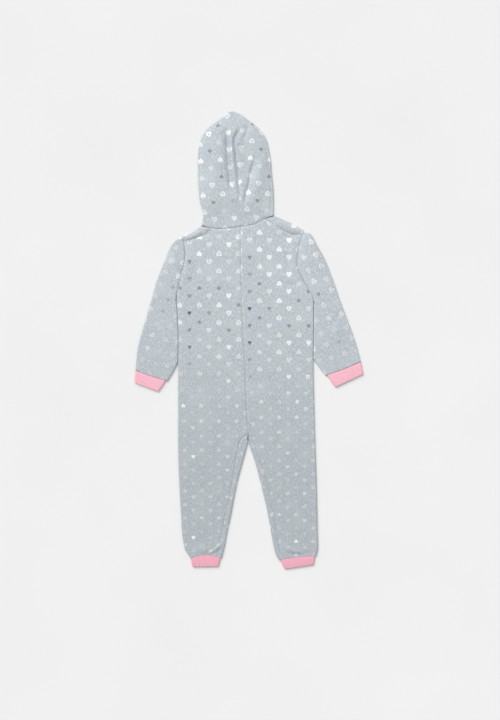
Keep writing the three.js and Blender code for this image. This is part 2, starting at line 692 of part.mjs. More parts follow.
// A cuff: a flat rib tube from the seam line to its hem. `seam` gives the seam line from 0 to 1.
function ribCuff(name, seam, hem) {
  const radius = CUFF_HEIGHT / 2;
  const count = 2 * CUFF_RIBS;
  const ring = (line) => {
    const inner = line(0);
    const outer = line(1);
    const run = Math.hypot(outer.x - inner.x, outer.y - inner.y) - 2 * radius;
    const curl = Math.PI * radius;
    const margin = radius / (run + 2 * radius);
    const perimeter = 2 * (run + curl);
    const out = direction(line(0.9), outer);
    const back = direction(line(0.1), inner);
    return Array.from({ length: count }, (unused, i) => {
      const depth = i % 2 === 0 ? 0 : RIB_DEPTH;
      let at = (perimeter * i) / count;
      if (at < run) {
        const { x, y } = line(lerp(margin, 1 - margin, at / run));
        return { outer: [x, y, CUFF_HEIGHT - depth], inner: [x, y, CUFF_HEIGHT - CUFF_WALL] };
      }
      at -= run;
      if (at < curl) return ribRound(outer, out, 90 - (180 * at) / curl, radius, depth);
      at -= curl;
      if (at < run) {
        const { x, y } = line(lerp(1 - margin, margin, at / run));
        return { outer: [x, y, depth], inner: [x, y, CUFF_WALL] };
      }
      at -= run;
      return ribRound(inner, back, (180 * at) / curl - 90, radius, depth);
    });
  };
  return clothPanel(name, [ring(seam), ring(hem)], { closed: true, colour: CUFF_COLOUR });
}

function ribRound(edge, out, degrees, radius, depth) {
  const station = roundFold(edge, out, degrees, radius, depth);
  return { outer: station.inner, inner: roundFold(edge, out, degrees, radius, CUFF_WALL).inner };
}

function ankleCuff({ side }) {
  const { inner, outer, bow } = ANKLES[side];
  const seam = bowed(inner, outer, bow);
  const hem = CUFF_HEMS["ankle_" + side];
  const edge = (t) => shifted(seam(lerp(0.03, 0.99, t)), 0, -CUFF_GAP);
  return ribCuff("ankle_cuff_" + side, edge, bowed(hem.inner, hem.outer, 0));
}

function wristCuff({ side }) {
  const rings = SLEEVE_RINGS[side];
  const last = rings[rings.length - 1];
  const inner = { x: last.innerX, y: last.innerY };
  const outer = { x: last.outerX, y: last.outerY };
  const seam = bowed(inner, outer, WRIST_BOW);
  const hem = CUFF_HEMS["wrist_" + side];
  const down = direction(between(inner, outer, 0.5), between(hem.inner, hem.outer, 0.5));
  const edge = (t) => shifted(seam(lerp(0.05, 0.995, t)), down.x * CUFF_GAP, down.y * CUFF_GAP);
  return ribCuff("wrist_cuff_" + side, edge, bowed(hem.inner, hem.outer, 0));
}

// One half of the hood: from the centre seam over the side fold to the edge of the face opening beneath.
function hoodHalf(edges) {
  const { side, away, neckline, neckCorner, frontNeckline, outward } = edges;
  const first = HOOD_ROWS[0];
  const back = [neckline[0]];
  for (let i = 1; i < neckline.length; i += 1) {
    for (let part = 1; part <= HOOD_SPLIT; part += 1) {
      back.push(between(neckline[i - 1], neckline[i], part / HOOD_SPLIT));
    }
  }
  const cornerStart = shifted(neckCorner, -away * FOLD_RADIUS, 0);
  const backRow = back.map((point) => shifted(point, 0, SEAM_GAP));
  backRow[0].x += away * SEAM_GAP;
  const lastPart = direction(neckline[neckline.length - 1], neckline[neckline.length - 2]);
  const cornerRise = (FOLD_RADIUS * lastPart.y) / Math.abs(lastPart.x);
  backRow[backRow.length - 1] = shifted(cornerStart, 0, cornerRise + SEAM_GAP);
  const across = fractionsAlongX(back);
  const frontAcross = [0, 0.25, 0.5, 0.75, 1];
  const frontRow = frontNeckline.map((point) => shifted(point, 0, SEAM_GAP));
  frontRow[frontRow.length - 1] = shifted(neckCorner, -away * FOLD_RADIUS, SEAM_GAP);

  const middleX = (row) => row.centre + away * SEAM_GAP;
  const edgeX = (row) => row.centre + away * Math.max(row.opening, SEAM_GAP);
  const sideStart = (row) => ({ x: row[side] - away * FOLD_RADIUS, y: row.y });
  const topAt = (row) => across.map((u) => ({ x: lerp(middleX(row), sideStart(row).x, u), y: row.y }));
  const underAt = (row) => frontAcross.map((u) => ({ x: lerp(edgeX(row), sideStart(row).x, u), y: row.y }));

  const steps = Array.from({ length: HOOD_NECK_ROWS + 1 }, (unused, i) => i / HOOD_NECK_ROWS);
  const neckSide = steps.map((t) => between(backRow[backRow.length - 1], sideStart(first), t));
  const frontSide = steps.map((t) => between(frontRow[frontRow.length - 1], sideStart(first), t));
  const upperCentre = steps.map((t) => between(backRow[0], { x: middleX(first), y: first.y }, t));
  const faceEdge = steps.map((t) => {
    const point = between(frontRow[0], { x: edgeX(first), y: first.y }, t);
    return shifted(point, -away * 20 * t * (1 - t), 0);
  });
  const topNeck = patch(backRow, topAt(first), upperCentre, neckSide, across);
  const underNeck = patch(frontRow, underAt(first), faceEdge, frontSide);
  const topPlan = [...topNeck, ...HOOD_ROWS.slice(1).map(topAt)];
  const underPlan = [...underNeck, ...HOOD_ROWS.slice(1).map(underAt)];

  const grid = topPlan.map((row, r) => {
    const end = row.length - 1;
    const edge = shifted(row[end], away * FOLD_RADIUS, 0);
    const upper = row.map((point, c) => (c === end ? onTop(point, FOLD_HEIGHT) : onTop(point)));
    const curl = [30, -30].map((angle) => roundFold(edge, outward, angle));
    return [...upper, ...curl, ...underPlan[r].slice().reverse().map(onFloor)];
  });
  return clothPanel("hood_" + side, grid);
}

// Solid of a prism whose profile is drawn in millimetres and raised from `low` to `high`.
function prism(shape, low, high) {
  const options = { depth: high - low, bevelEnabled: false, curveSegments: 3 };
  const geometry = new THREE.ExtrudeGeometry(shape, options);
  geometry.translate(0, 0, low);
  return geometry;
}

function roundedRectangle(x0, y0, x1, y1, corner) {
  const shape = new THREE.Shape();
  shape.moveTo(x0 + corner, y0);
  shape.lineTo(x1 - corner, y0);
  shape.absarc(x1 - corner, y0 + corner, corner, -Math.PI / 2, 0, false);
  shape.lineTo(x1, y1 - corner);
  shape.absarc(x1 - corner, y1 - corner, corner, 0, Math.PI / 2, false);
  shape.lineTo(x0 + corner, y1);
  shape.absarc(x0 + corner, y1 - corner, corner, Math.PI / 2, Math.PI, false);
  shape.lineTo(x0, y0 + corner);
  shape.absarc(x0 + corner, y0 + corner, corner, Math.PI, 1.5 * Math.PI, false);
  return shape;
}

function solidOf(geometry) {
  geometry.deleteAttribute("normal");
  geometry.deleteAttribute("uv");
  const merged = mergeVertices(geometry, 1e-3);
  const mesh = new wasm.Mesh({
    numProp: 3,
    vertProperties: merged.attributes.position.array,
    triVerts: new Uint32Array(merged.index.array),
  });
  return new wasm.Manifold(mesh);
}

// The tape fills the slot between the fronts, with the chain as a low rib under it.
function zipTape() {
  const across = [
    [-ZIP.tapeHalfWidth, ZIP.tapeHigh],
    [-ZIP.tapeHalfWidth, ZIP.tapeLow],
    [-ZIP.chainHalfWidth, ZIP.tapeLow],
    [-ZIP.chainHalfWidth, ZIP.chainLow],
    [ZIP.chainHalfWidth, ZIP.chainLow],
    [ZIP.chainHalfWidth, ZIP.tapeLow],
    [ZIP.tapeHalfWidth, ZIP.tapeLow],
    [ZIP.tapeHalfWidth, ZIP.tapeHigh],
  ];
  const positions = [];
  const bottomY = ZIP_BOTTOM + 1;
  for (let step = 0; step <= ZIP.steps; step += 1) {
    const y = lerp(bottomY, ZIP.topY, step / ZIP.steps);
    for (const [dx, z] of across) positions.push(centreX(y) + dx, y, z);
  }
  const count = across.length;
  const index = [];
  for (let step = 0; step < ZIP.steps; step += 1) {
    for (let i = 0; i < count; i += 1) {
      const a = step * count + i;
      const b = step * count + ((i + 1) % count);
      index.push(a, b, b + count, a, b + count, a + count);
    }
  }
  const profile = across.map(([x, z]) => new THREE.Vector2(x, z));
  const lastRing = ZIP.steps * count;
  for (const [a, b, c] of THREE.ShapeUtils.triangulateShape(profile, [])) {
    index.push(c, b, a, lastRing + a, lastRing + b, lastRing + c);
  }
  return meshFrom("zip_tape", positions, index, ZIP_COLOUR, { roughness: 0.7, metalness: 0 });
}

// The slider at the top of the closed zip, with two ears that hold the pull tab.
function zipSlider() {
  const x = centreX(SLIDER.y);
  const { y, halfWidth, length, low, high, corner } = SLIDER;
  const body = roundedRectangle(x - halfWidth, y, x + halfWidth, y + length, corner);
  let solid = solidOf(prism(body, low, high));
  for (const away of [-1, 1]) {
    const sides = [x + away * EAR.inside, x + away * EAR.outside];
    const ear = roundedRectangle(Math.min(...sides), y - EAR.reach, Math.max(...sides), y + 3, 0.4);
    solid = solid.add(solidOf(prism(ear, EAR.low, EAR.high)));
  }
  const made = solid.getMesh();
  const positions = Array.from(made.vertProperties);
  return meshFrom("zip_slider", positions, Array.from(made.triVerts), ZIP_COLOUR, METAL_FINISH);
}

// The pull tab: a plate whose round end turns between the ears. It lies flat along the zip.
function zipPull() {
  const { barrel, halfThickness, length, halfWidth, pivotY, pivotZ } = PULL;
  const join = Math.sqrt(barrel ** 2 - halfThickness ** 2);
  const joinAngle = Math.atan2(halfThickness, join);
  const profile = new THREE.Shape();
  profile.moveTo(length, halfThickness * 0.6);
  profile.lineTo(length - 0.6, halfThickness);
  profile.lineTo(join, halfThickness);
  profile.absarc(0, 0, barrel, joinAngle, 2 * Math.PI - joinAngle, false);
  profile.lineTo(length - 0.6, -halfThickness);
  profile.lineTo(length, -halfThickness * 0.6);
  const options = { depth: 2 * halfWidth, bevelEnabled: false, curveSegments: 10 };
  const geometry = new THREE.ExtrudeGeometry(profile, options);
  geometry.translate(0, 0, -halfWidth);
  const material = new THREE.MeshStandardMaterial({ color: ZIP_COLOUR, ...METAL_FINISH });
  const mesh = new THREE.Mesh(geometry, material);
  mesh.name = "zip_pull";
  // The profile runs along -Y and its width along X.
  const turn = new THREE.Matrix4().makeBasis(
    new THREE.Vector3(0, -1, 0),
    new THREE.Vector3(0, 0, 1),
    new THREE.Vector3(-1, 0, 0),
  );
  mesh.quaternion.setFromRotationMatrix(turn);
  mesh.position.set(centreX(pivotY), pivotY, pivotZ);
  return mesh;
}

const garment = new THREE.Group();
for (const side of ["left", "right"]) {
  const edges = sideOf(side);
  garment.add(backPanel(edges), frontPanel(edges), sleeve(edges), hoodHalf(edges));
  garment.add(wristCuff(edges), ankleCuff(edges));
}
garment.add(zipTape(), zipSlider(), zipPull());

// The origin is the middle of the garment's outline, on the floor.
garment.updateMatrixWorld(true);
const bounds = new THREE.Box3().setFromObject(garment, true);
const middle = bounds.getCenter(new THREE.Vector3());
garment.position.set(-middle.x, -middle.y, -bounds.min.z);

export default garment;
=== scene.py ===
import math

import bpy
import numpy as np
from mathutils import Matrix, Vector


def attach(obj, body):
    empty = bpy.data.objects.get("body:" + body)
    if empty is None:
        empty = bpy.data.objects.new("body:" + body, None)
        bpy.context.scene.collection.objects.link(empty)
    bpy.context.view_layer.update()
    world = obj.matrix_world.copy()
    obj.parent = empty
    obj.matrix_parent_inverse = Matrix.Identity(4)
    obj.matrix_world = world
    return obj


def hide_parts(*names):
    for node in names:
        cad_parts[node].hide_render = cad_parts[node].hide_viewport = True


# A child's hooded one-piece pajama, laid out flat on its front with the back up.
# Plans and tables are in millimetres: x from the middle of the laid-out width, y from the lowest hem.
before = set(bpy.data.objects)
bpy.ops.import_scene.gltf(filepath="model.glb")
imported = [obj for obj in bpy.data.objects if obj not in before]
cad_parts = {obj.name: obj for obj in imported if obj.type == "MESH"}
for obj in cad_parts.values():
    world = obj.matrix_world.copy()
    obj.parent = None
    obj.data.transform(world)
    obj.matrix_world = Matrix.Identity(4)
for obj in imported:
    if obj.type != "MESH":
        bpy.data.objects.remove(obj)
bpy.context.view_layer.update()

ORIGIN = np.array([-0.6927, -560.8054, 0.0])  # from table millimetres to the frame's origin
CLOTH = 1.5
FOLD_HEIGHT = 5.2
FOLD_RADIUS = FOLD_HEIGHT / 2
LOWEST_TOP = 3.5
SEAM_GAP = 0.06
CUFF_GAP = 0.25
SIDE_CLEARANCE = 0.5
CUFF_HEIGHT = 5.6
CUFF_WALL = 2.2
CUFF_RIBS = 40
HOOD_DOME = 8
NECK_DROP = 45
CORNER_DROP = 4.9
ZIP_HALF_SLOT = 4.5
ZIP_BOTTOM = 380
CROTCH_HEIGHT = 314
JUNCTION_HEIGHT = 332
UPPER_HEIGHT = 165  # from the armpit to the shoulder, along which the upper rows are spaced
STEP = 3.4  # spacing of the finest rows and columns

# Distances between the hearts of the print.
PRINT_ACROSS = 24.1
PRINT_DOWN = 41.9
# Shifts of the print on the strip of the front at the inseam and on its wrap over the shoulder.
STRIP_PRINT = [0.35 * 41.5, 12]
WRAP_PRINT = [0.2 * 48, 17]

# Outer edges of the legs and body: y, left x, right x.
SIDE_EDGES = [
    (18, -140, 162), (32, -146.5, 165), (47, -156, 169), (62, -159.5, 169.5), (91, -163.5, 168.5),
    (135, -166, 167.5), (223, -171, 165.5), (296, -173, 163), (385, -173, 160.5), (502, -173, 158),
    (578, -172.5, 158.5), (627, -175.2, 158.8), (660, -177, 158.8),
]

# Inner folds of the legs and the inseams: y, left fold, right fold, left seam, right seam.
LEG_EDGES = [
    (18, -68, 77, -80, 88), (32, -65, 67.5, -77, 80), (62, -58, 60, -70, 74), (91, -53, 54.5, -65, 68),
    (135, -43.5, 47, -56, 61), (179, -35.5, 37, -47, 53), (223, -26, 26, -38, 44), (267, -14, 14, -31.5, 29),
    (296, -6.2, 4, -26, 17.5), (314, -1.6, -1.6, -22, 10),
]

# Centre back seam: y, x.
CENTRE_SEAM = [
    (300, -1.6), (332, -2), (421, -6.6), (514, -9.4), (588, -14.2), (644, -16.8), (757, -19.6), (839, -19.8),
]

# Ankle seams: inner corner, outer corner, and how far the seam bows up between them.
ANKLES = {
    "left": ((-67, 27), (-142, 26), 8),
    "right": ((75, 22), (163, 32), 2.5),
}

# Armhole seams from the armpit to the shoulder fold.
ARMHOLES = {
    "left": [(-176.8, 656.6), (-175.6, 681), (-170, 700.7), (-165, 722.8), (-158.5, 747.3), (-155.3, 769.3),
             (-157.8, 793.8), (-162.2, 814.4)],
    "right": [(158.8, 651.7), (155.8, 668), (144, 688.5), (129.5, 715.4), (119.2, 742.4), (120.8, 771.8),
              (126.4, 801.2), (135.5, 828.6)],
}

# Back neckline from the centre seam to the shoulder fold. The shoulder seam starts at the last point but one.
NECKLINES = {
    "left": [(-19.8, 838.6), (-29, 837.3), (-40, 835.4), (-52, 833.8), (-64, 833.4), (-77, 833.5),
             (-90, 834.8), (-115.2, 841.8)],
    "right": [(-19.8, 838.6), (-10.5, 840.4), (-1.7, 841.8), (8, 843.2), (17, 845.2), (28, 851.5),
              (40, 857.8), (60.5, 865.8)],
}
SHOULDER_FOLDS = {
    "left": [(-129, 831), (-145, 820.5)],
    "right": [(86, 855.5), (112, 843)],
}
SHOULDER_SEAMS = {
    "left": [(-107, 820.5), (-132, 810), (-159.7, 802.8)],
    "right": [(70, 838), (101, 822), (132, 818)],
}

# Inner and outer folds of the sleeves from the armhole to the cuff. The inner fold lies beside the body
# down to the first free point.
SLEEVE_INNER = {
    "left": [(-184.5, 485), (-199, 461)],
    "right": [(171.5, 496), (187.7, 474.3)],
}
SLEEVE_BESIDE = {
    "left": (648, 640, 628, 598, 554, 509),
    "right": (646, 639, 628, 598, 558, 516),
}
SLEEVE_BOW = {"left": (9, 6), "right": (9, 5)}
SLEEVE_OUTER = {
    "left": [(-177, 807), (-190.5, 791), (-204, 759), (-223, 712), (-240, 655), (-256.5, 599), (-271, 546),
             (-277.8, 487)],
    "right": [(152, 820.5), (166, 796), (183, 766), (203, 717), (222, 662), (241.5, 611), (260.5, 558),
              (274.8, 507.5)],
}
WRIST_BOW = -1.5

# Hems of the cuffs: inner and outer corner.
CUFF_HEMS = {
    "wrist_left": ((-221.5, 434.9), (-279.8, 456.7)),
    "wrist_right": ((211.4, 445.4), (281, 478.5)),
    "ankle_left": ((-74.2, 6.4), (-138.2, 5.6)),
    "ankle_right": ((87.7, 0), (159, 11)),
}

# Hood: y, left fold, right fold, centre seam, half width of the face opening.
HOOD_ROWS = [
    (905, -120.5, 60.5, -22.8, 40), (930, -122.8, 59.8, -24.5, 44), (955, -124, 57.5, -26, 46),
    (980, -124.4, 55, -28.5, 46), (1005, -124.2, 53.2, -31, 44), (1030, -123, 48.5, -33, 38),
    (1050, -118.3, 43.8, -33.5, 28), (1068, -109, 35, -32.5, 0), (1083, -96, 20.5, -32, 0),
    (1095, -80, 6, -33, 0), (1104, -67, -5.5, -34.5, 0), (1112, -56, -16.5, -36.5, 0),
    (1118.5, -49, -30, -39, 0),
]
HOOD_PEAK = (-39.5, 1121.8)


def at(px, py):
    """A place in the plan, counted like the views' pixels, 2.45 mm apart."""
    return ((px - 248.7) * 2.45, (569 - py) * 2.45)


def lerp(a, b, t):
    return a + (b - a) * t


def smooth(t):
    t = np.clip(t, 0, 1)
    return t * t * (3 - 2 * t)


def unit(vectors):
    """The vectors at length one."""
    return vectors / np.linalg.norm(vectors, axis=-1, keepdims=True)


def turned(flat, degrees):
    """Places on the flat cloth, turned about its origin."""
    c, s = math.cos(math.radians(degrees)), math.sin(math.radians(degrees))
    return np.stack([flat[..., 0] * c - flat[..., 1] * s, flat[..., 0] * s + flat[..., 1] * c], -1)


def track(rows, column):
    """A smooth curve through one column of a table, as a function of y."""
    ys = np.array([row[0] for row in rows], float)
    xs = np.array([row[column] for row in rows], float)
    before = np.maximum(np.arange(len(ys)) - 1, 0)
    after = np.minimum(np.arange(len(ys)) + 1, len(ys) - 1)
    slopes = (xs[after] - xs[before]) / (ys[after] - ys[before])

    def curve(y):
        y = np.asarray(y, float)
        i = np.clip(np.searchsorted(ys, y, side="left") - 1, 0, len(ys) - 2)
        step = ys[i + 1] - ys[i]
        t = np.clip((y - ys[i]) / step, 0, 1)
        bend = slopes[i] * step * t * (1 - t) ** 2 - slopes[i + 1] * step * t * t * (1 - t)
        return lerp(xs[i], xs[i + 1], t * t * (3 - 2 * t)) + bend

    return curve


def spline(points, t):
    """A smooth curve through points. t counts the points from 0."""
    points = np.asarray(points, float)
    t = np.asarray(t, float)
    last = len(points) - 1
    lengths = np.maximum(np.linalg.norm(np.diff(points, axis=0), axis=1), 1e-6)
    knots = np.concatenate([[0], np.cumsum(lengths)])
    slopes = np.empty_like(points)
    slopes[0] = (points[1] - points[0]) / lengths[0]
    slopes[-1] = (points[-1] - points[-2]) / lengths[-1]
    for i in range(1, last):
        one = (points[i] - points[i - 1]) / lengths[i - 1]
        two = (points[i + 1] - points[i]) / lengths[i]
        slopes[i] = (one * lengths[i] + two * lengths[i - 1]) / (lengths[i] + lengths[i - 1])
    i = np.clip(np.floor(t).astype(int), 0, last - 1)
    f = (t - i)[:, None]
    step = (knots[i + 1] - knots[i])[:, None]
    ease = f * f * (3 - 2 * f)
    bend = slopes[i] * step * f * (1 - f) ** 2 - slopes[i + 1] * step * f * f * (1 - f)
    return lerp(points[i], points[i + 1], ease) + bend


def even(points, count, t0=0.0, t1=None):
    """Values of t that step evenly along the curve through points."""
    t1 = len(points) - 1 if t1 is None else t1
    fine = np.linspace(t0, t1, 600)
    line = spline(points, fine)
    run = np.concatenate([[0], np.cumsum(np.linalg.norm(np.diff(line, axis=0), axis=1))])
    return np.interp(np.linspace(0, run[-1], count), run, fine)


def clustered(length, step=STEP, ends=(True, True)):
    """Fractions from 0 to 1, close together near the ends that are seams."""
    near = np.array([0, 0.45, 0.95, 1.5, 2.2, 3.1, 4.3, 6.0])
    low = near if ends[0] else np.array([0.0])
    high = length - (near if ends[1] else np.array([0.0]))[::-1]
    count = max(int(round((high[0] - low[-1]) / step)), 2)
    middle = np.linspace(low[-1], high[0], count + 1)[1:-1]
    return np.concatenate([low, middle, high]) / length


def distance_to_path(x, y, path):
    """Distance to a path, and how far along it the nearest point is, from 0 to 1."""
    path = np.asarray(path, float)
    lengths = np.linalg.norm(np.diff(path, axis=0), axis=1)
    total = lengths.sum()
    nearest = np.full(x.shape, np.inf)
    along = np.zeros(x.shape)
    start = 0.0
    for (ax, ay), (bx, by), length in zip(path[:-1], path[1:], lengths):
        t = np.clip(((x - ax) * (bx - ax) + (y - ay) * (by - ay)) / length**2, 0, 1)
        d = np.hypot(x - lerp(ax, bx, t), y - lerp(ay, by, t))
        closer = d < nearest
        nearest = np.where(closer, d, nearest)
        along = np.where(closer, (start + t * length) / total, along)
        start += length
    return nearest, along


# Crests (positive) and creases (negative) of the upper face: height, width, taper of the ends, path.
FOLDS = [
    # left shoulder: the front's band rolls over it, with a crease under the band
    (3.4, 9, 0.2, [(-96, 834), (-130, 820), (-160, 808)]),
    (-2.6, 7, 0.2, [at(213, 231.5), at(205, 234.5), at(196, 238), at(181, 241)]),
    # right shoulder
    (3.2, 11, 0.2, [(66, 851), (100, 838), (131, 829)]),
    (-2.2, 7, 0.3, [at(280, 237), at(292, 236), at(303, 233.5)]),
    (-1.2, 17, 0.4, [at(258, 238), at(276, 242), at(294, 243)]),
    (-1.8, 3.2, 0.3, [at(298.3, 266), at(304.5, 279)]),
    (1.7, 3, 0.3, [at(295.5, 267), at(302, 280.5)]),
    (-1.6, 3.2, 0.35, [at(300.2, 255), at(300.9, 264), at(302.5, 269)]),
    (-1.9, 5, 0.35, [at(287.5, 255), at(288.5, 264), at(290.5, 273)]),
    (-1.5, 4, 0.4, [at(286, 283.5), at(297, 285)]),
    (-1.9, 3.8, 0.3, [at(177, 252), at(182.5, 261), at(183, 270)]),
    (1.4, 6, 0.35, [at(171, 256), at(176, 268), at(177, 280)]),
    # armholes
    (-1.5, 8, 0.3, [(-182, 790), (-172, 772), (-158, 745)]),
    (2.2, 14, 0.3, [(-176, 776), (-186, 730)]),
    (1.8, 10, 0.3, [(-146, 785), (-150, 735), (-162, 694)]),
    (2.4, 10, 0.3, [(110, 796), (106, 750), (114, 716)]),
    (-1.4, 7, 0.3, [(128, 776), (131, 740), (148, 692)]),
    (2.8, 12, 0.25, [(144, 814), (155, 789), (167, 756), (181, 722)]),
    (-1.3, 8, 0.35, [(95, 772), (99, 748), (102, 728)]),
    # elbows
    (1.6, 16, 0.4, [(-226, 618), (-215, 585), (-203, 556)]),
    (1.6, 16, 0.4, [(207, 628), (214, 600), (225, 566)]),
    (-1.1, 6, 0.4, [(-238, 632), (-222, 600), (-196, 580)]),
    (-1.2, 6, 0.4, [(228, 640), (213, 610), (186, 588)]),
    # seat and crotch
    (-1.3, 6, 0.4, [(-19, 376), (-15, 356), (-11, 338)]),
    (-1.3, 6, 0.4, [(12, 372), (8, 352), (3, 338)]),
    (1.5, 26, 0.5, [(-80, 434), (0, 426), (72, 436)]),
    (-0.9, 10, 0.5, [(-60, 380), (-30, 352), (-16, 330)]),
    (-0.9, 10, 0.5, [(58, 392), (32, 356), (14, 326)]),
    # ankles, gathered into the cuffs
    (2.4, 8, 0.35, [(-72, 60), (-99, 46), (-126, 49)]),
    (-1.2, 5, 0.4, [(-70, 47), (-96, 36), (-118, 38)]),
    (2.8, 8, 0.35, [(92, 50), (118, 47), (142, 52)]),
    (-1.1, 5, 0.4, [(88, 38), (112, 36), (150, 43)]),
    (2.4, 3.2, 0.3, [at(222, 543), at(216, 549), at(209.5, 553)]),
    (-2.2, 3.4, 0.3, [at(217.5, 545), at(211.5, 549.5), at(206, 552.5)]),
    (2.2, 3.4, 0.35, [at(286.5, 544), at(291, 550), at(300, 552.5), at(309, 551)]),
    (-1.8, 4, 0.35, [at(290, 546), at(298, 548.5), at(305, 547.5)]),
    (-1.6, 3.2, 0.3, [at(240.2, 429), at(240.6, 437), at(239.2, 446)]),
    (-1.5, 3.4, 0.3, [at(242.5, 420), at(246, 428), at(248, 437)]),
    (-1.4, 3.4, 0.3, [at(254, 424), at(251, 431), at(249, 438)]),
    (-1.3, 4, 0.3, [at(255, 431), at(253, 438), at(257, 447)]),
    # over the slider
    (1.6, 26, 0, [(-20, 800), (-20, 776)]),
    # hood
    (-5.2, 9, 0.2, [(-57, 1066), (-52, 1024), (-48.5, 975), (-42.5, 945), (-35, 921)]),
    (3.4, 7, 0.25, [(-43, 1060), (-40.5, 1010), (-37, 962), (-31, 926)]),
    (-3.0, 5.5, 0.15, [(-25, 1074), (-34.5, 1052), (-31.4, 1009), (-29, 990), (-25.5, 960), (-22.5, 882)]),
    (-3.4, 17, 0.3, [(-8, 1076), (-10, 1010), (-11, 935)]),
    (-3.4, 8, 0.25, [(18, 1002), (5, 965), (-2.5, 924), (-12, 890)]),
    (2.6, 12, 0.3, [(34, 1012), (24, 960), (13, 912)]),
    (2.0, 14, 0.35, [(-84, 1042), (-82, 970), (-78, 902)]),
    (-1.5, 5, 0.35, [(-28.7, 1040), (-20, 1031), (-11, 1021)]),
    (-1.8, 7, 0.35, [(-3, 1090), (-9.5, 1056)]),
    (1.4, 10, 0.4, [(8, 1080), (3, 1050), (6, 1020)]),
    (-1.2, 9, 0.4, [(-100, 1056), (-94, 1010), (-98, 965)]),
    (-1.3, 10, 0.4, [(-64, 900), (-60, 872), (-52, 850)]),
    (1.2, 12, 0.4, [(26, 900), (34, 876), (42, 862)]),
    (-1.0, 8, 0.4, [(42, 940), (36, 905), (30, 880)]),
    (-4.2, 3.6, 0.2, [at(226.6, 130), at(227.7, 155), at(229.2, 171), at(231, 184), at(235, 194)]),
    (-3.0, 3.4, 0.2, [at(238.1, 131.5), at(234.6, 138.2), at(235.6, 151.4), at(236.6, 162)]),
    (-3.6, 3.8, 0.25, [at(254.7, 158), at(251.8, 168), at(249.7, 180), at(248, 189), at(243.9, 204.5)]),
    (-2.4, 3.4, 0.3, [at(236.4, 144), at(240.6, 150), at(244.5, 153)]),
    (-2.2, 4.5, 0.35, [at(247.6, 125), at(247, 131), at(243.9, 141)]),
    (-2.2, 5, 0.35, [at(238, 126), at(239, 132), at(238, 138)]),
    (-1.7, 4, 0.3, [at(200, 200), at(203.5, 213), at(207, 222)]),
]

centre_x = track(CENTRE_SEAM, 1)

# Lines of sewing under the garment: beside the zip, and along the hem of the face opening.
SEWN = []
for away in (-1, 1):
    SEWN.append([(float(centre_x(y)) + away * 8.5, y) for y in np.linspace(ZIP_BOTTOM - 4, 784, 24)])
    SEWN.append([(row[3] + away * (row[4] + 9), row[0]) for row in HOOD_ROWS[:7]])

# Slow unevenness of the whole upper face: height, half length of the bump in x and in y, centre.
SWELLS = [
    (0.8, 46, 60, (-92, 700)), (-0.7, 40, 50, (-60, 622)), (0.7, 42, 58, (72, 640)),
    (-0.6, 38, 42, (20, 560)), (0.7, 44, 46, (-110, 520)), (0.6, 40, 44, (98, 500)),
    (-0.6, 36, 48, (-60, 452)), (0.7, 30, 60, (-112, 300)), (-0.6, 26, 46, (-96, 205)),
    (0.7, 26, 50, (-118, 130)), (0.7, 30, 60, (104, 290)), (-0.6, 26, 44, (122, 196)),
    (0.8, 26, 46, (108, 118)), (0.6, 22, 36, (-212, 690)), (0.6, 20, 34, (205, 690)),
    (-0.5, 20, 32, (-246, 540)), (-0.5, 20, 32, (238, 556)), (0.6, 22, 30, (-232, 500)),
    (0.6, 22, 30, (226, 516)), (0.7, 36, 40, (-58, 776)), (0.7, 34, 40, (46, 786)),
    (-0.6, 30, 36, (10, 716)), (-0.5, 30, 36, (-118, 610)), (0.5, 30, 30, (118, 590)),
]

# Shallow dents of the lower face, which lies on the floor: height, width, path.
DENTS = [
    (0.7, 7, [(-120, 690), (-92, 668), (-70, 655)]), (0.6, 6, [(98, 700), (76, 676), (48, 668)]),
    (0.7, 8, [(-64, 420), (-44, 388), (-18, 356)]), (0.6, 7, [(56, 430), (38, 392), (16, 352)]),
    (0.6, 6, [(-130, 250), (-104, 236), (-82, 240)]), (0.6, 6, [(126, 236), (100, 226), (74, 232)]),
    (0.5, 6, [(-138, 92), (-112, 84), (-92, 88)]), (0.6, 6, [(140, 100), (120, 88), (96, 92)]),
    (0.6, 7, [(-222, 640), (-206, 616), (-196, 586)]), (0.6, 7, [(206, 650), (194, 622), (180, 600)]),
    (0.6, 7, [(-100, 930), (-92, 900), (-78, 872)]), (0.6, 7, [(44, 950), (38, 916), (24, 884)]),
]


def smooth_path(points, count=24):
    return spline(points, even(points, count))


hood_left_x = track(HOOD_ROWS, 1)
hood_right_x = track(HOOD_ROWS, 2)

# Seams that show as grooves in the upper face: depth, width, path.
SEAMS = [
    (1.5, 2.0, [(float(centre_x(y)), y) for y in np.linspace(JUNCTION_HEIGHT, 838, 20)]),
    (1.9, 2.6, smooth_path(NECKLINES["left"][::-1] + NECKLINES["right"][1:], 40)),
]
for side in ("left", "right"):
    inseam = track(LEG_EDGES, 3 if side == "left" else 4)
    legs = [(float(inseam(y)), y) for y in np.linspace(24, CROTCH_HEIGHT, 16)]
    SEAMS.append((1.3, 1.9, legs + [(float(centre_x(JUNCTION_HEIGHT)), JUNCTION_HEIGHT)]))
    SEAMS.append((1.4, 1.9, smooth_path([NECKLINES[side][-2]] + SHOULDER_SEAMS[side], 16)))
    SEAMS.append((1.5, 2.1, smooth_path(ARMHOLES[side], 30)))


def dome_height(x, y):
    """The empty hood stands up in a low dome, flat at the neck, at its side folds and at its peak."""
    neck_y, peak_y = 850, 1121
    across = (x - hood_left_x(y)) / np.maximum(hood_right_x(y) - hood_left_x(y), 1)
    sideways = 1 - np.abs(2 * np.clip(across, 0, 1) - 1) ** 3
    upwards = np.clip(np.minimum((y - neck_y) / 60, (peak_y - y) / 50), 0, 1)
    return HOOD_DOME * sideways * smooth(upwards)


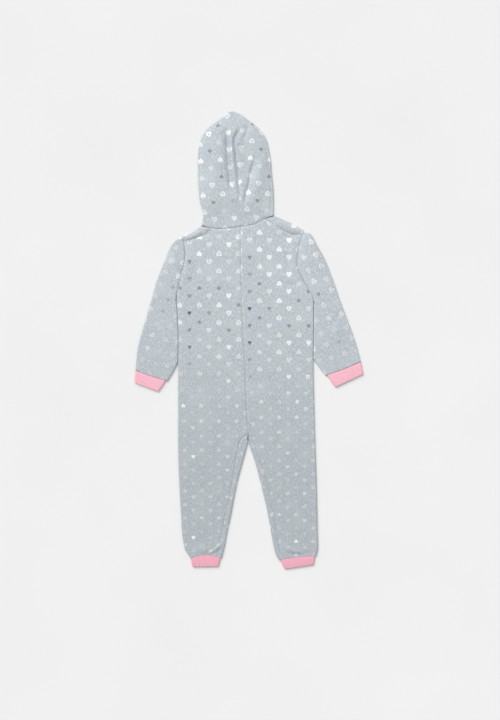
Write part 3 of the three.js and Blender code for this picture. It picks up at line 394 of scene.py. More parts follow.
def top_height(x, y):
    """Height of the upper face over the floor."""
    height = FOLD_HEIGHT + dome_height(x, y)
    for rise, width, taper, path in FOLDS:
        d, t = distance_to_path(x, y, smooth_path(path, 12))
        ends = smooth(np.minimum(t, 1 - t) / taper) if taper else 1
        height += rise * lerp(0.35, 1.0, ends) * np.exp(-((d / width) ** 2))
    for rise, half_x, half_y, (cx, cy) in SWELLS:
        height += rise * np.exp(-(((x - cx) / half_x) ** 2) - ((y - cy) / half_y) ** 2)
    height = LOWEST_TOP + np.logaddexp(0, (height - LOWEST_TOP) * 2.2) / 2.2
    for depth, width, path in SEAMS:
        d, _ = distance_to_path(x, y, path)
        height -= depth * np.exp(-np.abs(d / width) ** 1.6)
    return np.maximum(height, 3.1)


def floor_height(x, y):
    """The lower face lies on the floor, apart from a few shallow dents."""
    height = np.zeros(x.shape)
    for rise, width, path in DENTS:
        d, t = distance_to_path(x, y, path)
        height += rise * smooth(np.minimum(t, 1 - t) / 0.35 + 0.15) * np.exp(-((d / width) ** 2))
    for path in SEWN:
        d, _ = distance_to_path(x, y, path)
        height += 0.5 * np.exp(-((d / 2.2) ** 2))
    return height


class Stations:
    """Places on the cloth in rows and columns: outer face, inner face, and the place on the flat cloth."""

    def __init__(self, outer, inner, flat):
        self.outer, self.inner, self.flat = outer, inner, flat

    @staticmethod
    def beside(*parts):
        return Stations.joined(parts, 1)

    @staticmethod
    def above(*parts):
        return Stations.joined(parts, 0)

    @staticmethod
    def joined(parts, axis):
        names = ("outer", "inner", "flat")
        faces = [np.concatenate([getattr(part, name) for part in parts], axis=axis) for name in names]
        return Stations(*faces)


def print_place(plan, away):
    """Place in the print for a back panel. The repeats shrink towards the legs, which lie further away."""
    y = plan[..., 1]
    heights = np.linspace(-40, 900, 400)
    pitch_down = np.interp(heights, [250, 414, 500], [33.0, 38.6, 41.9])
    start = 762.9 if away > 0 else 752.2
    count = np.concatenate([[0], np.cumsum(np.diff(heights) / ((pitch_down[1:] + pitch_down[:-1]) / 2))])
    v = np.interp(y, heights, count) - np.interp(start, heights, count)
    pitch_across = np.interp(y, [250, 414, 500], [20.8, 22.0, PRINT_ACROSS])
    u = 1 + (plan[..., 0] - (74.6 if away > 0 else -72.8)) / pitch_across
    return np.stack([u * PRINT_ACROSS, v * PRINT_DOWN], -1)


def on_top(plan, near_fold):
    """Stations of the upper layer. near_fold is the distance to a side fold, where the height evens out."""
    x, y = plan[..., 0], plan[..., 1]
    z = lerp(FOLD_HEIGHT, top_height(x, y), smooth(near_fold / 9))
    outer = np.stack([x, y, z], -1)
    return Stations(outer, outer - [0, 0, CLOTH], plan.copy())


def on_floor(plan):
    x, y = plan[..., 0], plan[..., 1]
    z = floor_height(x, y)
    outer = np.stack([x, y, z], -1)
    flat = np.stack([x * -1 + 700, y], -1)
    return Stations(outer, outer + [0, 0, CLOTH], flat)


def round_fold(edge, out, degrees, under=False):
    """Stations round a fold: 90 degrees is its upper side and -90 its lower side. One column per angle."""
    radius = FOLD_RADIUS
    columns = []
    for angle in degrees:
        reach, rise = math.cos(math.radians(angle)), math.sin(math.radians(angle))
        pair = []
        for r in (radius, radius - CLOTH):
            xy = edge + out * (reach * r - radius)
            pair.append(np.concatenate([xy, np.full(xy.shape[:-1] + (1,), radius + rise * r)], -1))
        arc = radius * math.radians(90 - angle if not under else 90 + angle)
        place = edge - out * radius + out * arc
        if under:
            place = place * [-1, 1] + [700, 0]
        columns.append((pair[0], pair[1], place))
    return Stations(*(np.stack([c[k] for c in columns], 1) for k in range(3)))


def spread(near, far, u, low=None, low_share=None, high=None, high_share=None):
    """Rows of a patch, each from near to far. The bends of the lowest and highest line fade in."""
    rows = near[:, None] * (1 - u)[None, :, None] + far[:, None] * u[None, :, None]
    for line, share in ((low, low_share), (high, high_share)):
        if line is not None:
            bend = line - (line[0] * (1 - u)[:, None] + line[-1] * u[:, None])
            rows = rows + share[:, None, None] * bend[None]
    return rows


def row_gap(plan, from_end=True):
    """Distance along each row from its last or first point."""
    run = np.concatenate(
        [np.zeros((len(plan), 1)), np.cumsum(np.linalg.norm(np.diff(plan, axis=1), axis=2), axis=1)], axis=1
    )
    return run[:, -1:] - run if from_end else run


def panel(name, stations, covers=None, closed=False, hem_rows=0):
    """A cloth piece: outer and inner face and the edges between them. covers says which cells are cloth."""
    outer, inner, flat = stations.outer, stations.inner, stations.flat
    rows, columns = outer.shape[:2]
    cells = columns if closed else columns - 1
    cloth = np.ones((rows - 1, cells), bool) if covers is None else covers
    count = rows * columns
    grid = np.arange(count).reshape(rows, columns)
    a = grid[:-1, :cells]
    b = np.roll(grid, -1, axis=1)[:-1, :cells]
    c = np.roll(grid, -1, axis=1)[1:, :cells]
    d = grid[1:, :cells]
    faces = [np.stack([a, b, c, d], -1)[cloth], np.stack([a, d, c, b], -1)[cloth] + count]
    pad = np.zeros((rows + 1, cells + 2), bool)
    pad[1:-1, 1:-1] = cloth
    if closed:
        pad[1:-1, 0] = cloth[:, -1]
        pad[1:-1, -1] = cloth[:, 0]
    sides = (
        (a, b, cloth & ~pad[:-2, 1:-1]), (b, c, cloth & ~pad[1:-1, 2:]),
        (c, d, cloth & ~pad[2:, 1:-1]), (d, a, cloth & ~pad[1:-1, :-2]),
    )
    for p, q, edge in sides:
        faces.append(np.stack([q, p, p + count, q + count], -1)[edge])
    faces = np.concatenate(faces)
    points = np.concatenate([outer.reshape(-1, 3), inner.reshape(-1, 3)])
    used = np.unique(faces)
    places = np.concatenate([flat.reshape(-1, 2), flat.reshape(-1, 2)])
    fresh = np.full(len(points), -1)
    fresh[used] = np.arange(len(used))
    faces = fresh[faces]
    points = (points[used] + ORIGIN) / 1000
    corner = points[faces]
    volume = np.einsum("ij,ij->", corner[:, 0], np.cross(corner[:, 1], corner[:, 2]))
    volume += np.einsum("ij,ij->", corner[:, 0], np.cross(corner[:, 2], corner[:, 3]))
    if volume < 0:
        faces = faces[:, ::-1]
    return mesh_object(name, points, faces.tolist(), places[used] / 1000)


def mesh_object(name, points, faces, places=None):
    mesh = bpy.data.meshes.new(name)
    mesh.from_pydata(points.tolist(), [], faces)
    mesh.polygons.foreach_set("use_smooth", np.ones(len(mesh.polygons), bool))
    if places is not None:
        layer = mesh.attributes.new("cloth_place", "FLOAT_VECTOR", "POINT")
        values = np.concatenate([places, np.zeros((len(places), 1))], axis=1).astype(np.float32)
        layer.data.foreach_set("vector", values.ravel())
    mesh.update()
    piece = bpy.data.objects.new(name, mesh)
    bpy.context.scene.collection.objects.link(piece)
    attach(piece, "garment")
    return piece


def bowed(inner, outer, bow):
    """A seam line between two corners, bowed at right angles to them."""
    inner, outer = np.array(inner, float), np.array(outer, float)
    run = unit(outer - inner)
    up = np.array([run[1], -run[0]]) if run[0] < 0 else np.array([-run[1], run[0]])

    def line(t):
        t = np.asarray(t, float)[..., None]
        return lerp(inner, outer, t) + up * 4 * bow * t * (1 - t)

    return line


class Side:
    """Lines and edges that the panels of one side share."""

    def __init__(self, side):
        self.side = side
        self.away = -1 if side == "left" else 1
        self.neckline = np.array(NECKLINES[side], float)
        self.armhole = np.array(ARMHOLES[side], float)
        self.outer_x = track(SIDE_EDGES, 1 if side == "left" else 2)
        self.inner_x = track(LEG_EDGES, 1 if side == "left" else 2)
        self.inseam_x = track(LEG_EDGES, 3 if side == "left" else 4)
        self.outward = np.array([self.away, 0.0])
        neck_y = self.neckline[0, 1] - NECK_DROP
        zip_x = float(centre_x(neck_y)) + self.away * ZIP_HALF_SLOT
        corner = self.neckline[-1]
        t = np.linspace(0, 1, 9)
        self.front_neckline = np.stack([lerp(zip_x, corner[0], t), lerp(neck_y, corner[1], t * t)], -1)

    def ankle_y(self, x):
        inner, outer, bow = ANKLES[self.side]
        t = (x - inner[0]) / (outer[0] - inner[0])
        return bowed(inner, outer, bow)(t)[..., 1]


def body_plan(edges, inner_line, top_line, armhole_end, u):
    """Plan of a body panel: rows from the ankle to the armpit, then a patch up to the top line."""
    inner, outer, _ = ANKLES[edges.side]
    away = edges.away
    inset = away * FOLD_RADIUS
    armpit_y = edges.armhole[0, 1]
    y0 = inner[1]
    ys = body_rows(edges)
    share = (1 - (ys - y0) / (armpit_y - y0)) ** 3
    ankle_x = lerp(float(inner_line(np.array([y0]))[0]), outer[0] - inset, u)
    ankle = np.stack([ankle_x, edges.ankle_y(ankle_x)], -1)
    near_y = ys + (ankle[0, 1] - y0) * share
    far_y = ys + (ankle[-1, 1] - y0) * share
    near = np.stack([inner_line(near_y), near_y], -1)
    far = np.stack([edges.outer_x(far_y) - inset, far_y], -1)
    near[0], far[0] = ankle[0], ankle[-1]
    far[-1] = [edges.armhole[0, 0] - inset, armpit_y]
    lower = spread(near, far, u, low=ankle, low_share=share)
    v = clustered(UPPER_HEIGHT, ends=(False, True))
    hole = np.concatenate([edges.armhole[:-1], [armhole_end]])
    hole_t = np.interp(v, np.linspace(0, 1, len(hole)), np.arange(len(hole)))
    upper_far = spline(hole, hole_t) - [away * SEAM_GAP, 0]
    top_y = top_line[0, 1]
    near_y = lerp(armpit_y, top_y, v)
    upper_near = np.stack([inner_line(near_y), near_y], -1)
    upper_near[-1] = top_line[0]
    upper_far[0] = lower[-1, -1]
    upper_far[-1] = top_line[-1]
    upper = spread(upper_near, upper_far, u, high=top_line, high_share=v)
    return np.concatenate([lower, upper[1:]]), len(lower) - 1


def top_columns(lines, length, step=STEP):
    """Column fractions with one column exactly on each corner between the lines of the top edge."""
    x0, x1 = lines[0][0, 0], lines[-1][-1, 0]
    shares = [0.0] + [float((line[-1, 0] - x0) / (x1 - x0)) for line in lines]
    u = []
    for i, line in enumerate(lines):
        part = clustered(length * (shares[i + 1] - shares[i]), step, (i == 0, i == len(lines) - 1))
        part = lerp(shares[i], shares[i + 1], part)
        u.append(part if i == 0 else part[1:])
    return np.concatenate(u)


def along_x(lines, u):
    """Points of the top edge at the column fractions, by their share of its x."""
    x0, x1 = lines[0][0, 0], lines[-1][-1, 0]
    fine = np.concatenate([spline(line, np.linspace(0, len(line) - 1, 80)) for line in lines])
    share = np.maximum.accumulate((fine[:, 0] - x0) / (x1 - x0))
    return np.stack([lerp(x0, x1, u), np.interp(u, share, fine[:, 1])], -1)


def body_rows(edges):
    """Heights of the rows below the armpit, with rows on the crotch and on the junction of the seams."""
    inner, _, _ = ANKLES[edges.side]
    stops = [inner[1], CROTCH_HEIGHT, JUNCTION_HEIGHT, ZIP_BOTTOM, edges.armhole[0, 1]]
    rows = [np.array([stops[0]])]
    for i, (low, high) in enumerate(zip(stops[:-1], stops[1:])):
        fractions = clustered(high - low, ends=(i == 0, False))
        rows.append(lerp(low, high, fractions)[1:])
    return np.concatenate(rows)


def back_panel(edges):
    away = edges.away

    def inner_line(y):
        y = np.asarray(y, float)
        crotch_x = float(edges.inseam_x(CROTCH_HEIGHT))
        junction_x = float(centre_x(JUNCTION_HEIGHT))
        t = (y - CROTCH_HEIGHT) / (JUNCTION_HEIGHT - CROTCH_HEIGHT)
        x = np.where(y >= JUNCTION_HEIGHT, centre_x(y), lerp(crotch_x, junction_x, t))
        return np.where(y <= CROTCH_HEIGHT, edges.inseam_x(y), x) + away * SEAM_GAP

    shoulder = np.concatenate([edges.neckline[-2:-1], np.array(SHOULDER_SEAMS[edges.side], float)])
    lines = [edges.neckline[:-1] - [0, SEAM_GAP], shoulder - [0, SEAM_GAP]]
    lines[0][0, 0] += away * SEAM_GAP
    lines[1][-1, 0] -= away * SEAM_GAP
    u = top_columns(lines, UPPER_HEIGHT)
    top_line = along_x(lines, u)
    armhole_end = lines[1][-1] + [away * SEAM_GAP, 0]
    plan, armpit_row = body_plan(edges, inner_line, top_line, armhole_end, u)
    gap = row_gap(plan)
    gap[armpit_row:] += np.linspace(0, 30, len(plan) - armpit_row)[:, None]
    top = on_top(plan, gap)
    fold_edge = plan[:, -1] + edges.outward * FOLD_RADIUS
    curl = round_fold(fold_edge, edges.outward, (66, 45, 25, 6))
    stations = Stations.beside(top, curl)
    stations.flat = print_place(stations.flat, away)
    covers = np.ones((len(plan) - 1, stations.outer.shape[1] - 1), bool)
    covers[armpit_row:, len(u) - 1:] = False
    return panel("back_" + edges.side + "_cloth", stations, covers)


def front_panel(edges):
    """The front lies below, folds up round the side, the leg and the shoulder, and ends on the back."""
    away = edges.away
    inset = SEAM_GAP + FOLD_RADIUS

    def inner_line(y):
        y = np.asarray(y, float)
        leg = edges.inner_x(y) + away * inset
        crotch_x = float(edges.inner_x(CROTCH_HEIGHT)) + away * inset
        junction_x = float(centre_x(JUNCTION_HEIGHT)) + away * SEAM_GAP
        joined = lerp(crotch_x, junction_x, (y - CROTCH_HEIGHT) / (JUNCTION_HEIGHT - CROTCH_HEIGHT))
        slot = smooth((y - ZIP_BOTTOM + 14) / 14) * (ZIP_HALF_SLOT - SEAM_GAP) + SEAM_GAP
        x = np.where(y >= JUNCTION_HEIGHT, centre_x(y) + away * slot, joined)
        return np.where(y <= CROTCH_HEIGHT, leg, x)

    corner, last = edges.neckline[-1], edges.armhole[-1]
    shoulder_points = np.concatenate(
        [[corner - [0, SEAM_GAP]], np.array(SHOULDER_FOLDS[edges.side], float), [last - [away * SEAM_GAP, 0]]]
    )
    count = 26
    edge_t = even(shoulder_points, count)
    shoulder_edge = spline(shoulder_points, edge_t)
    run = unit(np.gradient(shoulder_edge, axis=0))
    outs = np.stack([-run[:, 1], run[:, 0]], -1) * np.sign(run[:, :1])
    end_out = unit(edges.armhole[-1] - edges.armhole[-2])
    share = np.linspace(0, 1, count)[:, None]
    first = smooth(1 - share / 0.25)
    final = smooth((share - 0.75) / 0.25)
    outs = unit(outs * (1 - first) * (1 - final) + np.array([0, 1.0]) * first + end_out * final)
    start = shoulder_edge - outs * FOLD_RADIUS

    neck = edges.front_neckline - [0, SEAM_GAP]
    neck[-1] = start[0]
    x0, x1 = neck[0, 0], start[-1, 0]
    neck_share = (neck[-1, 0] - x0) / (x1 - x0)
    neck_u = lerp(0, neck_share, clustered(abs(neck[-1, 0] - neck[0, 0]), ends=(True, False)))
    u = np.concatenate([neck_u, ((start[:, 0] - x0) / (x1 - x0))[1:]])
    neck_line = along_x([neck], neck_u / neck_share)
    top_line = np.concatenate([neck_line, start[1:]])
    plan, armpit_row = body_plan(edges, inner_line, top_line, start[-1] + [away * SEAM_GAP, 0], u)

    rows = body_rows(edges)
    crotch_row = int(np.argmin(abs(rows - CROTCH_HEIGHT)))
    junction_row = int(np.argmin(abs(rows - JUNCTION_HEIGHT)))
    under = on_floor(plan[:, ::-1])
    side_edge = plan[:, -1] + edges.outward * FOLD_RADIUS
    side_curl = round_fold(side_edge, edges.outward, (-6, -25, -45, -66), under=True)
    leg_edge = plan[:, 0] - edges.outward * FOLD_RADIUS
    leg_curl = round_fold(leg_edge, -edges.outward, (-66, -45, -22, 0, 22, 45, 66, 90), under=True)

    # The strip from the leg's inner fold to the inseam, on the upper side.
    strip_u = np.concatenate([np.linspace(0, 0.5, 5)[1:], [0.62, 0.72, 0.8, 0.87, 0.93, 0.97, 1]])
    y = plan[:, 0, 1].copy()
    fold_x = leg_edge[:, 0] + away * FOLD_RADIUS
    seam_x = edges.inseam_x(np.minimum(y, CROTCH_HEIGHT)) - away * SEAM_GAP
    tip_y = JUNCTION_HEIGHT - 0.6
    above = y > CROTCH_HEIGHT
    t = np.clip((y - CROTCH_HEIGHT) / (tip_y - CROTCH_HEIGHT), 0, 1)
    tip_x = float(centre_x(tip_y))
    seam_x = np.where(above, lerp(float(edges.inseam_x(CROTCH_HEIGHT)), tip_x + away * 0.5, t), seam_x)
    fold_x = np.where(above, centre_x(y) + away * SEAM_GAP, fold_x)
    strip_y = np.where(above, lerp(CROTCH_HEIGHT, tip_y, t), y)
    strip_x = lerp(fold_x[:, None], seam_x[:, None], strip_u[None])
    strip = np.stack([strip_x, np.repeat(strip_y[:, None], len(strip_u), 1)], -1)
    fade = (1 - (y - y[0]) / (edges.armhole[0, 1] - y[0])) ** 3
    rise = edges.ankle_y(strip[0, :, 0]) - y[0]
    strip[..., 1] += np.where(above, 0, fade)[:, None] * rise[None]
    strip_gap = np.abs(strip[..., 0] - fold_x[:, None])
    strip_top = on_top(strip, strip_gap + smooth((y - 290)[:, None] / 24) * 9)
    strip_top.flat = strip_top.flat + STRIP_PRINT
    body = Stations.beside(side_curl, under, leg_curl, strip_top)

    first_shoulder = side_curl.outer.shape[1]
    shoulder_columns = count - 1
    back_line = np.concatenate([edges.neckline[-2:-1], np.array(SHOULDER_SEAMS[edges.side], float)])
    seam = spline(back_line, even(back_line, count)) + [0, SEAM_GAP]
    seam[0, 0] += away * 3 * SEAM_GAP
    seam[-1, 0] -= away * SEAM_GAP
    wrap = np.concatenate([np.linspace(0, 0.6, 6)[1:], [0.7, 0.78, 0.85, 0.91, 0.96, 1]])
    fill = []
    for angle in (-66, -45, -22, 0, 22, 45, 66, 90):
        column = round_fold(shoulder_edge, outs, (angle,))
        fill.append(Stations(column.outer[:, 0][None], column.inner[:, 0][None], column.flat[:, 0][None]))
    wrap_plan = np.stack([lerp(start, seam, w) for w in wrap])
    wrap_gap = np.linalg.norm(wrap_plan - start[None], axis=2)
    fill.append(on_top(wrap_plan, wrap_gap))
    shoulder = Stations.above(*fill)
    shoulder.flat = shoulder.flat + WRAP_PRINT
    total = body.outer.shape[1]
    extra = []
    for key in ("outer", "inner", "flat"):
        values = getattr(shoulder, key)
        full = np.repeat(getattr(body, key)[-1:], len(values), 0).copy()
        full[:, first_shoulder:first_shoulder + count] = values[:, ::-1]
        extra.append(full)
    stations = Stations.above(body, Stations(*extra))

    run_columns = len(u) - 1
    covers = np.zeros((len(stations.outer) - 1, total - 1), bool)
    last_body = len(plan) - 1
    covers[:last_body, first_shoulder:first_shoulder + run_columns] = True
    covers[:armpit_row, :first_shoulder] = True
    fold_columns = first_shoulder + run_columns
    strip_start = fold_columns + leg_curl.outer.shape[1]
    covers[:crotch_row, fold_columns:strip_start] = True
    covers[:junction_row, strip_start:] = True
    covers[last_body:, first_shoulder:first_shoulder + shoulder_columns] = True
    return panel("front_" + edges.side + "_cloth", stations, covers)


def sleeve(edges):
    """A flattened sleeve, set in at the armhole and open at both ends."""
    away, side = edges.away, edges.side
    armpit = edges.armhole[0] + [away * SIDE_CLEARANCE, 0]
    beside = np.array(SLEEVE_BESIDE[side], float)
    beside = np.stack([edges.outer_x(beside) + away * SIDE_CLEARANCE, beside], -1)
    inner_points = np.concatenate([[armpit], beside, np.array(SLEEVE_INNER[side], float)])
    outer_start = edges.armhole[-1] + [away * SEAM_GAP, 0]
    outer_points = np.concatenate([[outer_start], np.array(SLEEVE_OUTER[side], float)])
    count = 104
    t = even(outer_points, count)
    inner_line = spline(inner_points, t)
    clear = edges.outer_x(inner_line[:, 1]) + away * SIDE_CLEARANCE
    lies = inner_line[:, 1] > beside[-1, 1]
    inner_line[:, 0] = np.where(lies, clear, inner_line[:, 0])
    outer_line = spline(outer_points, t)
    along = unit(np.gradient(inner_line, axis=0))
    inner_out = np.stack([away * along[:, 1], -away * along[:, 0]], -1)
    wrist_out = unit(inner_line[-1] - outer_line[-1])
    turn = smooth(t - (len(inner_points) - 2))[:, None]
    inner_out = unit(inner_out * (1 - turn) + wrist_out * turn)
    start = inner_line - inner_out * FOLD_RADIUS

    u = clustered(112, ends=(False, False))
    hole_points = edges.armhole + [away * SEAM_GAP, 0]
    hole_points[0] = start[0]
    armhole = spline(hole_points, u * (len(hole_points) - 1))
    wrist = bowed(start[-1], outer_line[-1], WRIST_BOW)(u)
    v = t / t[-1]
    keep = (1 - v) ** 8
    bows = np.interp(t, [0, 1, 2, 3], [0, *SLEEVE_BOW[side], 0])
    plan = spread(start, outer_line, u, armhole, keep, wrist, v**8)
    plan[..., 0] += away * (4 * u * (1 - u))[None] * bows[:, None]
    outer_out = unit(plan[:, -1] - plan[:, -2])
    outer_run = unit(np.gradient(outer_line, axis=0))
    normal = np.stack([-away * outer_run[:, 1], away * outer_run[:, 0]], -1)
    mix = smooth((t - 0.2) / 1.2)[:, None]
    outer_out = unit(outer_out * (1 - mix) + normal * mix)
    outer_start = outer_line - outer_out * FOLD_RADIUS
    # Columns near the outer fold draw in to where the fold starts.
    draw = smooth((u - 0.8) / 0.2)[None, :, None]
    plan = plan + (outer_start - plan[:, -1])[:, None] * draw

    top = on_top(plan, np.minimum(row_gap(plan), row_gap(plan, from_end=False)))
    angles = (60, 30, 0, -30, -60)
    outer_curl = round_fold(outer_line, outer_out, angles)
    under = on_floor(plan[:, ::-1])
    inner_curl = round_fold(inner_line, inner_out, angles[::-1])
    stations = Stations.beside(top, outer_curl, under, inner_curl)
    stations.flat = turned(stations.flat - hole_points[-1], 26 * away) + [away * 310, 60]
    return panel("sleeve_" + side + "_cloth", stations, closed=True)


def hood_half(edges):
    """One half of the hood: from the centre seam over the side fold to the face opening beneath."""
    away, side = edges.away, edges.side
    column = 1 if side == "left" else 2
    corner = edges.neckline[-1]
    steps = 4
    first = HOOD_ROWS[0]
    neck_start = edges.neckline[0] + [away * SEAM_GAP, SEAM_GAP]
    front_start = edges.front_neckline[0] + [0, SEAM_GAP]
    share = np.arange(steps) / steps
    first_edge = np.array([first[column], first[0]], float)
    centre_first = np.array([first[3] + away * SEAM_GAP, first[0]])
    peak = np.array(HOOD_PEAK) + [away * 0.5, 0]

    # The left edge is pinched in just above the neck.
    pinch = (0, 4.5, 5.5, 2.5) if side == "left" else (0, 0, 0, 0)
    edge_points = [lerp(corner, first_edge, s) - [away * p, 0] for s, p in zip(share, pinch)]
    centre_points = [lerp(neck_start, centre_first, s) for s in share]
    face_first = np.array([first[3] + away * first[4], first[0]])
    face_points = [lerp(front_start, face_first, s) - [away * 20 * s * (1 - s), 0] for s in share]
    for y, *xs in HOOD_ROWS:
        edge_points.append(np.array([xs[column - 1], y], float))
        centre_points.append(np.array([xs[2] + away * SEAM_GAP, y]))
        face_points.append(np.array([xs[2] + away * max(xs[3], SEAM_GAP), y]))
    edge_points.append(peak)
    centre_points.append(peak - [away * 0.44, FOLD_RADIUS])
    face_points.append(peak - [away * 0.44, FOLD_RADIUS])
    count = 168
    t = even(edge_points, count)
    edge = spline(edge_points, t)
    centre = spline(centre_points, t)
    face = spline(face_points, t)
    run = unit(np.gradient(edge, axis=0))
    out = np.stack([away * run[:, 1], -away * run[:, 0]], -1)
    out[0] = [away, 0]
    start = edge - out * FOLD_RADIUS

    neck = edges.neckline + [0, SEAM_GAP]
    neck[0, 0] += away * SEAM_GAP
    neck[-1] = start[0]
    u = top_columns([neck], 92, 1.9)
    neck_line = along_x([neck], u)
    fade = smooth(1 - t / steps)
    centre[0] = neck_line[0]
    top_plan = spread(centre, start, u, low=neck_line, low_share=fade)
    under_u = clustered(76, ends=(True, False))
    front = edges.front_neckline + [0, SEAM_GAP]
    front[-1] = start[0]
    front_line = along_x([front], under_u)
    face[0] = front_line[0]
    under_plan = spread(face, start, under_u, low=front_line, low_share=fade)
    top = on_top(top_plan, row_gap(top_plan))
    angles = (66, 40, 14, -14, -40, -66)
    curl = round_fold(edge, out, angles)
    under = on_floor(under_plan[:, ::-1])
    stations = Stations.beside(top, curl, under)
    # The lower corner of the neck reaches down to where the front turns up to the shoulder.
    drop = [0.0] * len(u)
    drop += [CORNER_DROP * (1 - math.cos(math.radians(min(a, 0)))) for a in angles]
    last = under_plan[0, ::-1]
    drop += list(CORNER_DROP * smooth(1 - np.linalg.norm(last - last[0], axis=1) / 16))
    lowered = smooth(1 - t / 0.6)[:, None] * np.array(drop)[None]
    stations.outer[..., 1] -= lowered
    stations.inner[..., 1] -= lowered
    stations.flat = turned(stations.flat, 4 * away) + [900 + away * 9, 21]
    return panel("hood_" + side + "_cloth", stations)


def rib_cuff(name, seam, hem):
    """A flat rib tube from the seam line to its folded hem. seam and hem give their lines from 0 to 1."""
    radius = CUFF_HEIGHT / 2
    per_rib = 6
    count = CUFF_RIBS * per_rib
    rows = np.concatenate([[0, 0.02, 0.05], np.linspace(0.12, 0.9, 9), [0.94, 0.965, 0.985, 0.996, 1]])
    corner = (seam(0.0), seam(1.0), hem(0.0), hem(1.0))
    length = np.linalg.norm(lerp(corner[0], corner[1], 0.5) - lerp(corner[2], corner[3], 0.5))
    outer_all, inner_all, flat_all = [], [], []
    for share in rows:
        def line(t, share=share):
            return lerp(seam(t), hem(t), share)

        a, b = line(0.0), line(1.0)
        width = np.linalg.norm(b - a)
        run = width - 2 * radius
        curl = math.pi * radius
        margin = radius / width
        perimeter = 2 * (run + curl)
        out = unit(b - line(0.9))
        back = unit(a - line(0.1))
        at_run = perimeter * np.arange(count) / count
        wave = np.cos(2 * math.pi * np.arange(count) / per_rib)
        depth = 0.34 * (1 - wave)
        swell = 0.5 * math.sin(math.pi * share) - 0.5 * smooth(1 - share / 0.12)
        hem_round = min((1 - share) * length / 1.2, 1)
        wall = math.sqrt(max(1 - (1 - hem_round) ** 2, 0.0))
        outer = np.empty((count, 3))
        inner = np.empty((count, 3))
        mid = CUFF_WALL / 2
        thin = mid * wall

        def rounded(i, edge, away_from, angle, thick):
            for r, into in ((radius - mid + thick, outer), (radius - mid - thin, inner)):
                p = edge + away_from * (math.cos(angle) * r - radius)
                into[i] = [*p, max(radius + math.sin(angle) * r, 0.02)]

        for i, s in enumerate(at_run):
            thick = (mid + float(swell) - depth[i]) * wall
            if s < run:
                p = line(lerp(margin, 1 - margin, s / run))
                outer[i] = [*p, CUFF_HEIGHT - mid + thick]
                inner[i] = [*p, CUFF_HEIGHT - mid - thin]
            elif s < run + curl:
                rounded(i, b, out, math.pi / 2 - math.pi * (s - run) / curl, thick)
            elif s < 2 * run + curl:
                p = line(lerp(1 - margin, margin, (s - run - curl) / run))
                outer[i] = [*p, max(mid - (mid - depth[i]) * wall, 0.0)]
                inner[i] = [*p, mid + thin]
            else:
                rounded(i, a, back, math.pi * (s - 2 * run - curl) / curl - math.pi / 2, thick)
        outer_all.append(outer)
        inner_all.append(inner)
        flat_all.append(np.stack([at_run, np.full(count, length * share)], -1))
    stations = Stations(np.array(outer_all), np.array(inner_all), np.array(flat_all))
    return panel(name, stations, closed=True)


def ankle_cuff(edges):
    inner, outer, bow = ANKLES[edges.side]
    seam = bowed(inner, outer, bow)
    hem = CUFF_HEMS["ankle_" + edges.side]
    return rib_cuff(
        "ankle_cuff_" + edges.side + "_rib",
        lambda t: seam(lerp(0.03, 0.99, t)) - [0, CUFF_GAP],
        bowed(hem[0], hem[1], 0),
    )


def wrist_cuff(edges):
    inner = np.array(SLEEVE_INNER[edges.side][-1], float)
    outer = np.array(SLEEVE_OUTER[edges.side][-1], float)
    seam = bowed(inner, outer, WRIST_BOW)
    hem = np.array(CUFF_HEMS["wrist_" + edges.side], float)
    down = unit(lerp(hem[0], hem[1], 0.5) - lerp(inner, outer, 0.5)) * CUFF_GAP
    return rib_cuff(
        "wrist_cuff_" + edges.side + "_rib",
        lambda t: seam(lerp(0.05, 0.995, t)) + down,
        bowed(hem[0], hem[1], 0),
    )


def tube_faces(base, rings, around):
    """Faces of a closed tube: rings of points from base on, and a cap at each end."""
    faces = []
    for part in range(rings - 1):
        low, high = base + part * around, base + (part + 1) * around
        faces += [[low + j, high + j, high + (j + 1) % around, low + (j + 1) % around] for j in range(around)]
    last = base + (rings - 1) * around
    return faces + [list(range(base, base + around)), list(range(last, last + around))[::-1]]


def zip_tape():
    """The tape of the closed zip under the body."""
    half = [(4.1, 3.0), (4.25, 2.5), (4.1, 2.0), (2.2, 1.95)]
    profile = [(-dx, z) for dx, z in half] + [(0, 1.9)] + half[::-1] + [(0, 3.05)]
    ys = np.linspace(ZIP_BOTTOM + 1, 775.6, 90)
    points = np.array([(cx + dx, cy, z) for cx, cy in zip(centre_x(ys), ys) for dx, z in profile])
    faces = [face[::-1] for face in tube_faces(0, len(ys), len(profile))]
    return mesh_object("zip_tape_cloth", (points + ORIGIN) / 1000, faces, points[:, :2] / 1000)


def zip_chain():
    """The coil of the zip: rounded teeth across the tape, from the left and the right in turn."""
    ring = 8
    pitch = 1.35
    shape = ((-1.75, 0.22), (-1.45, 0.5), (0, 0.56), (1.45, 0.5), (1.75, 0.22))
    points, faces = [], []
    for i in range(int((774 - ZIP_BOTTOM - 4) / pitch)):
        cy = ZIP_BOTTOM + 4 + i * pitch
        cx = float(centre_x(cy)) + (0.35 if i % 2 else -0.35)
        faces += tube_faces(len(points), len(shape), ring)
        for dx, r in shape:
            for k in range(ring):
                angle = 2 * math.pi * k / ring
                points.append((cx + dx, cy + math.cos(angle) * r, 1.62 + math.sin(angle) * r * 0.9))
    return mesh_object("zip_chain", (np.array(points) + ORIGIN) / 1000, faces)


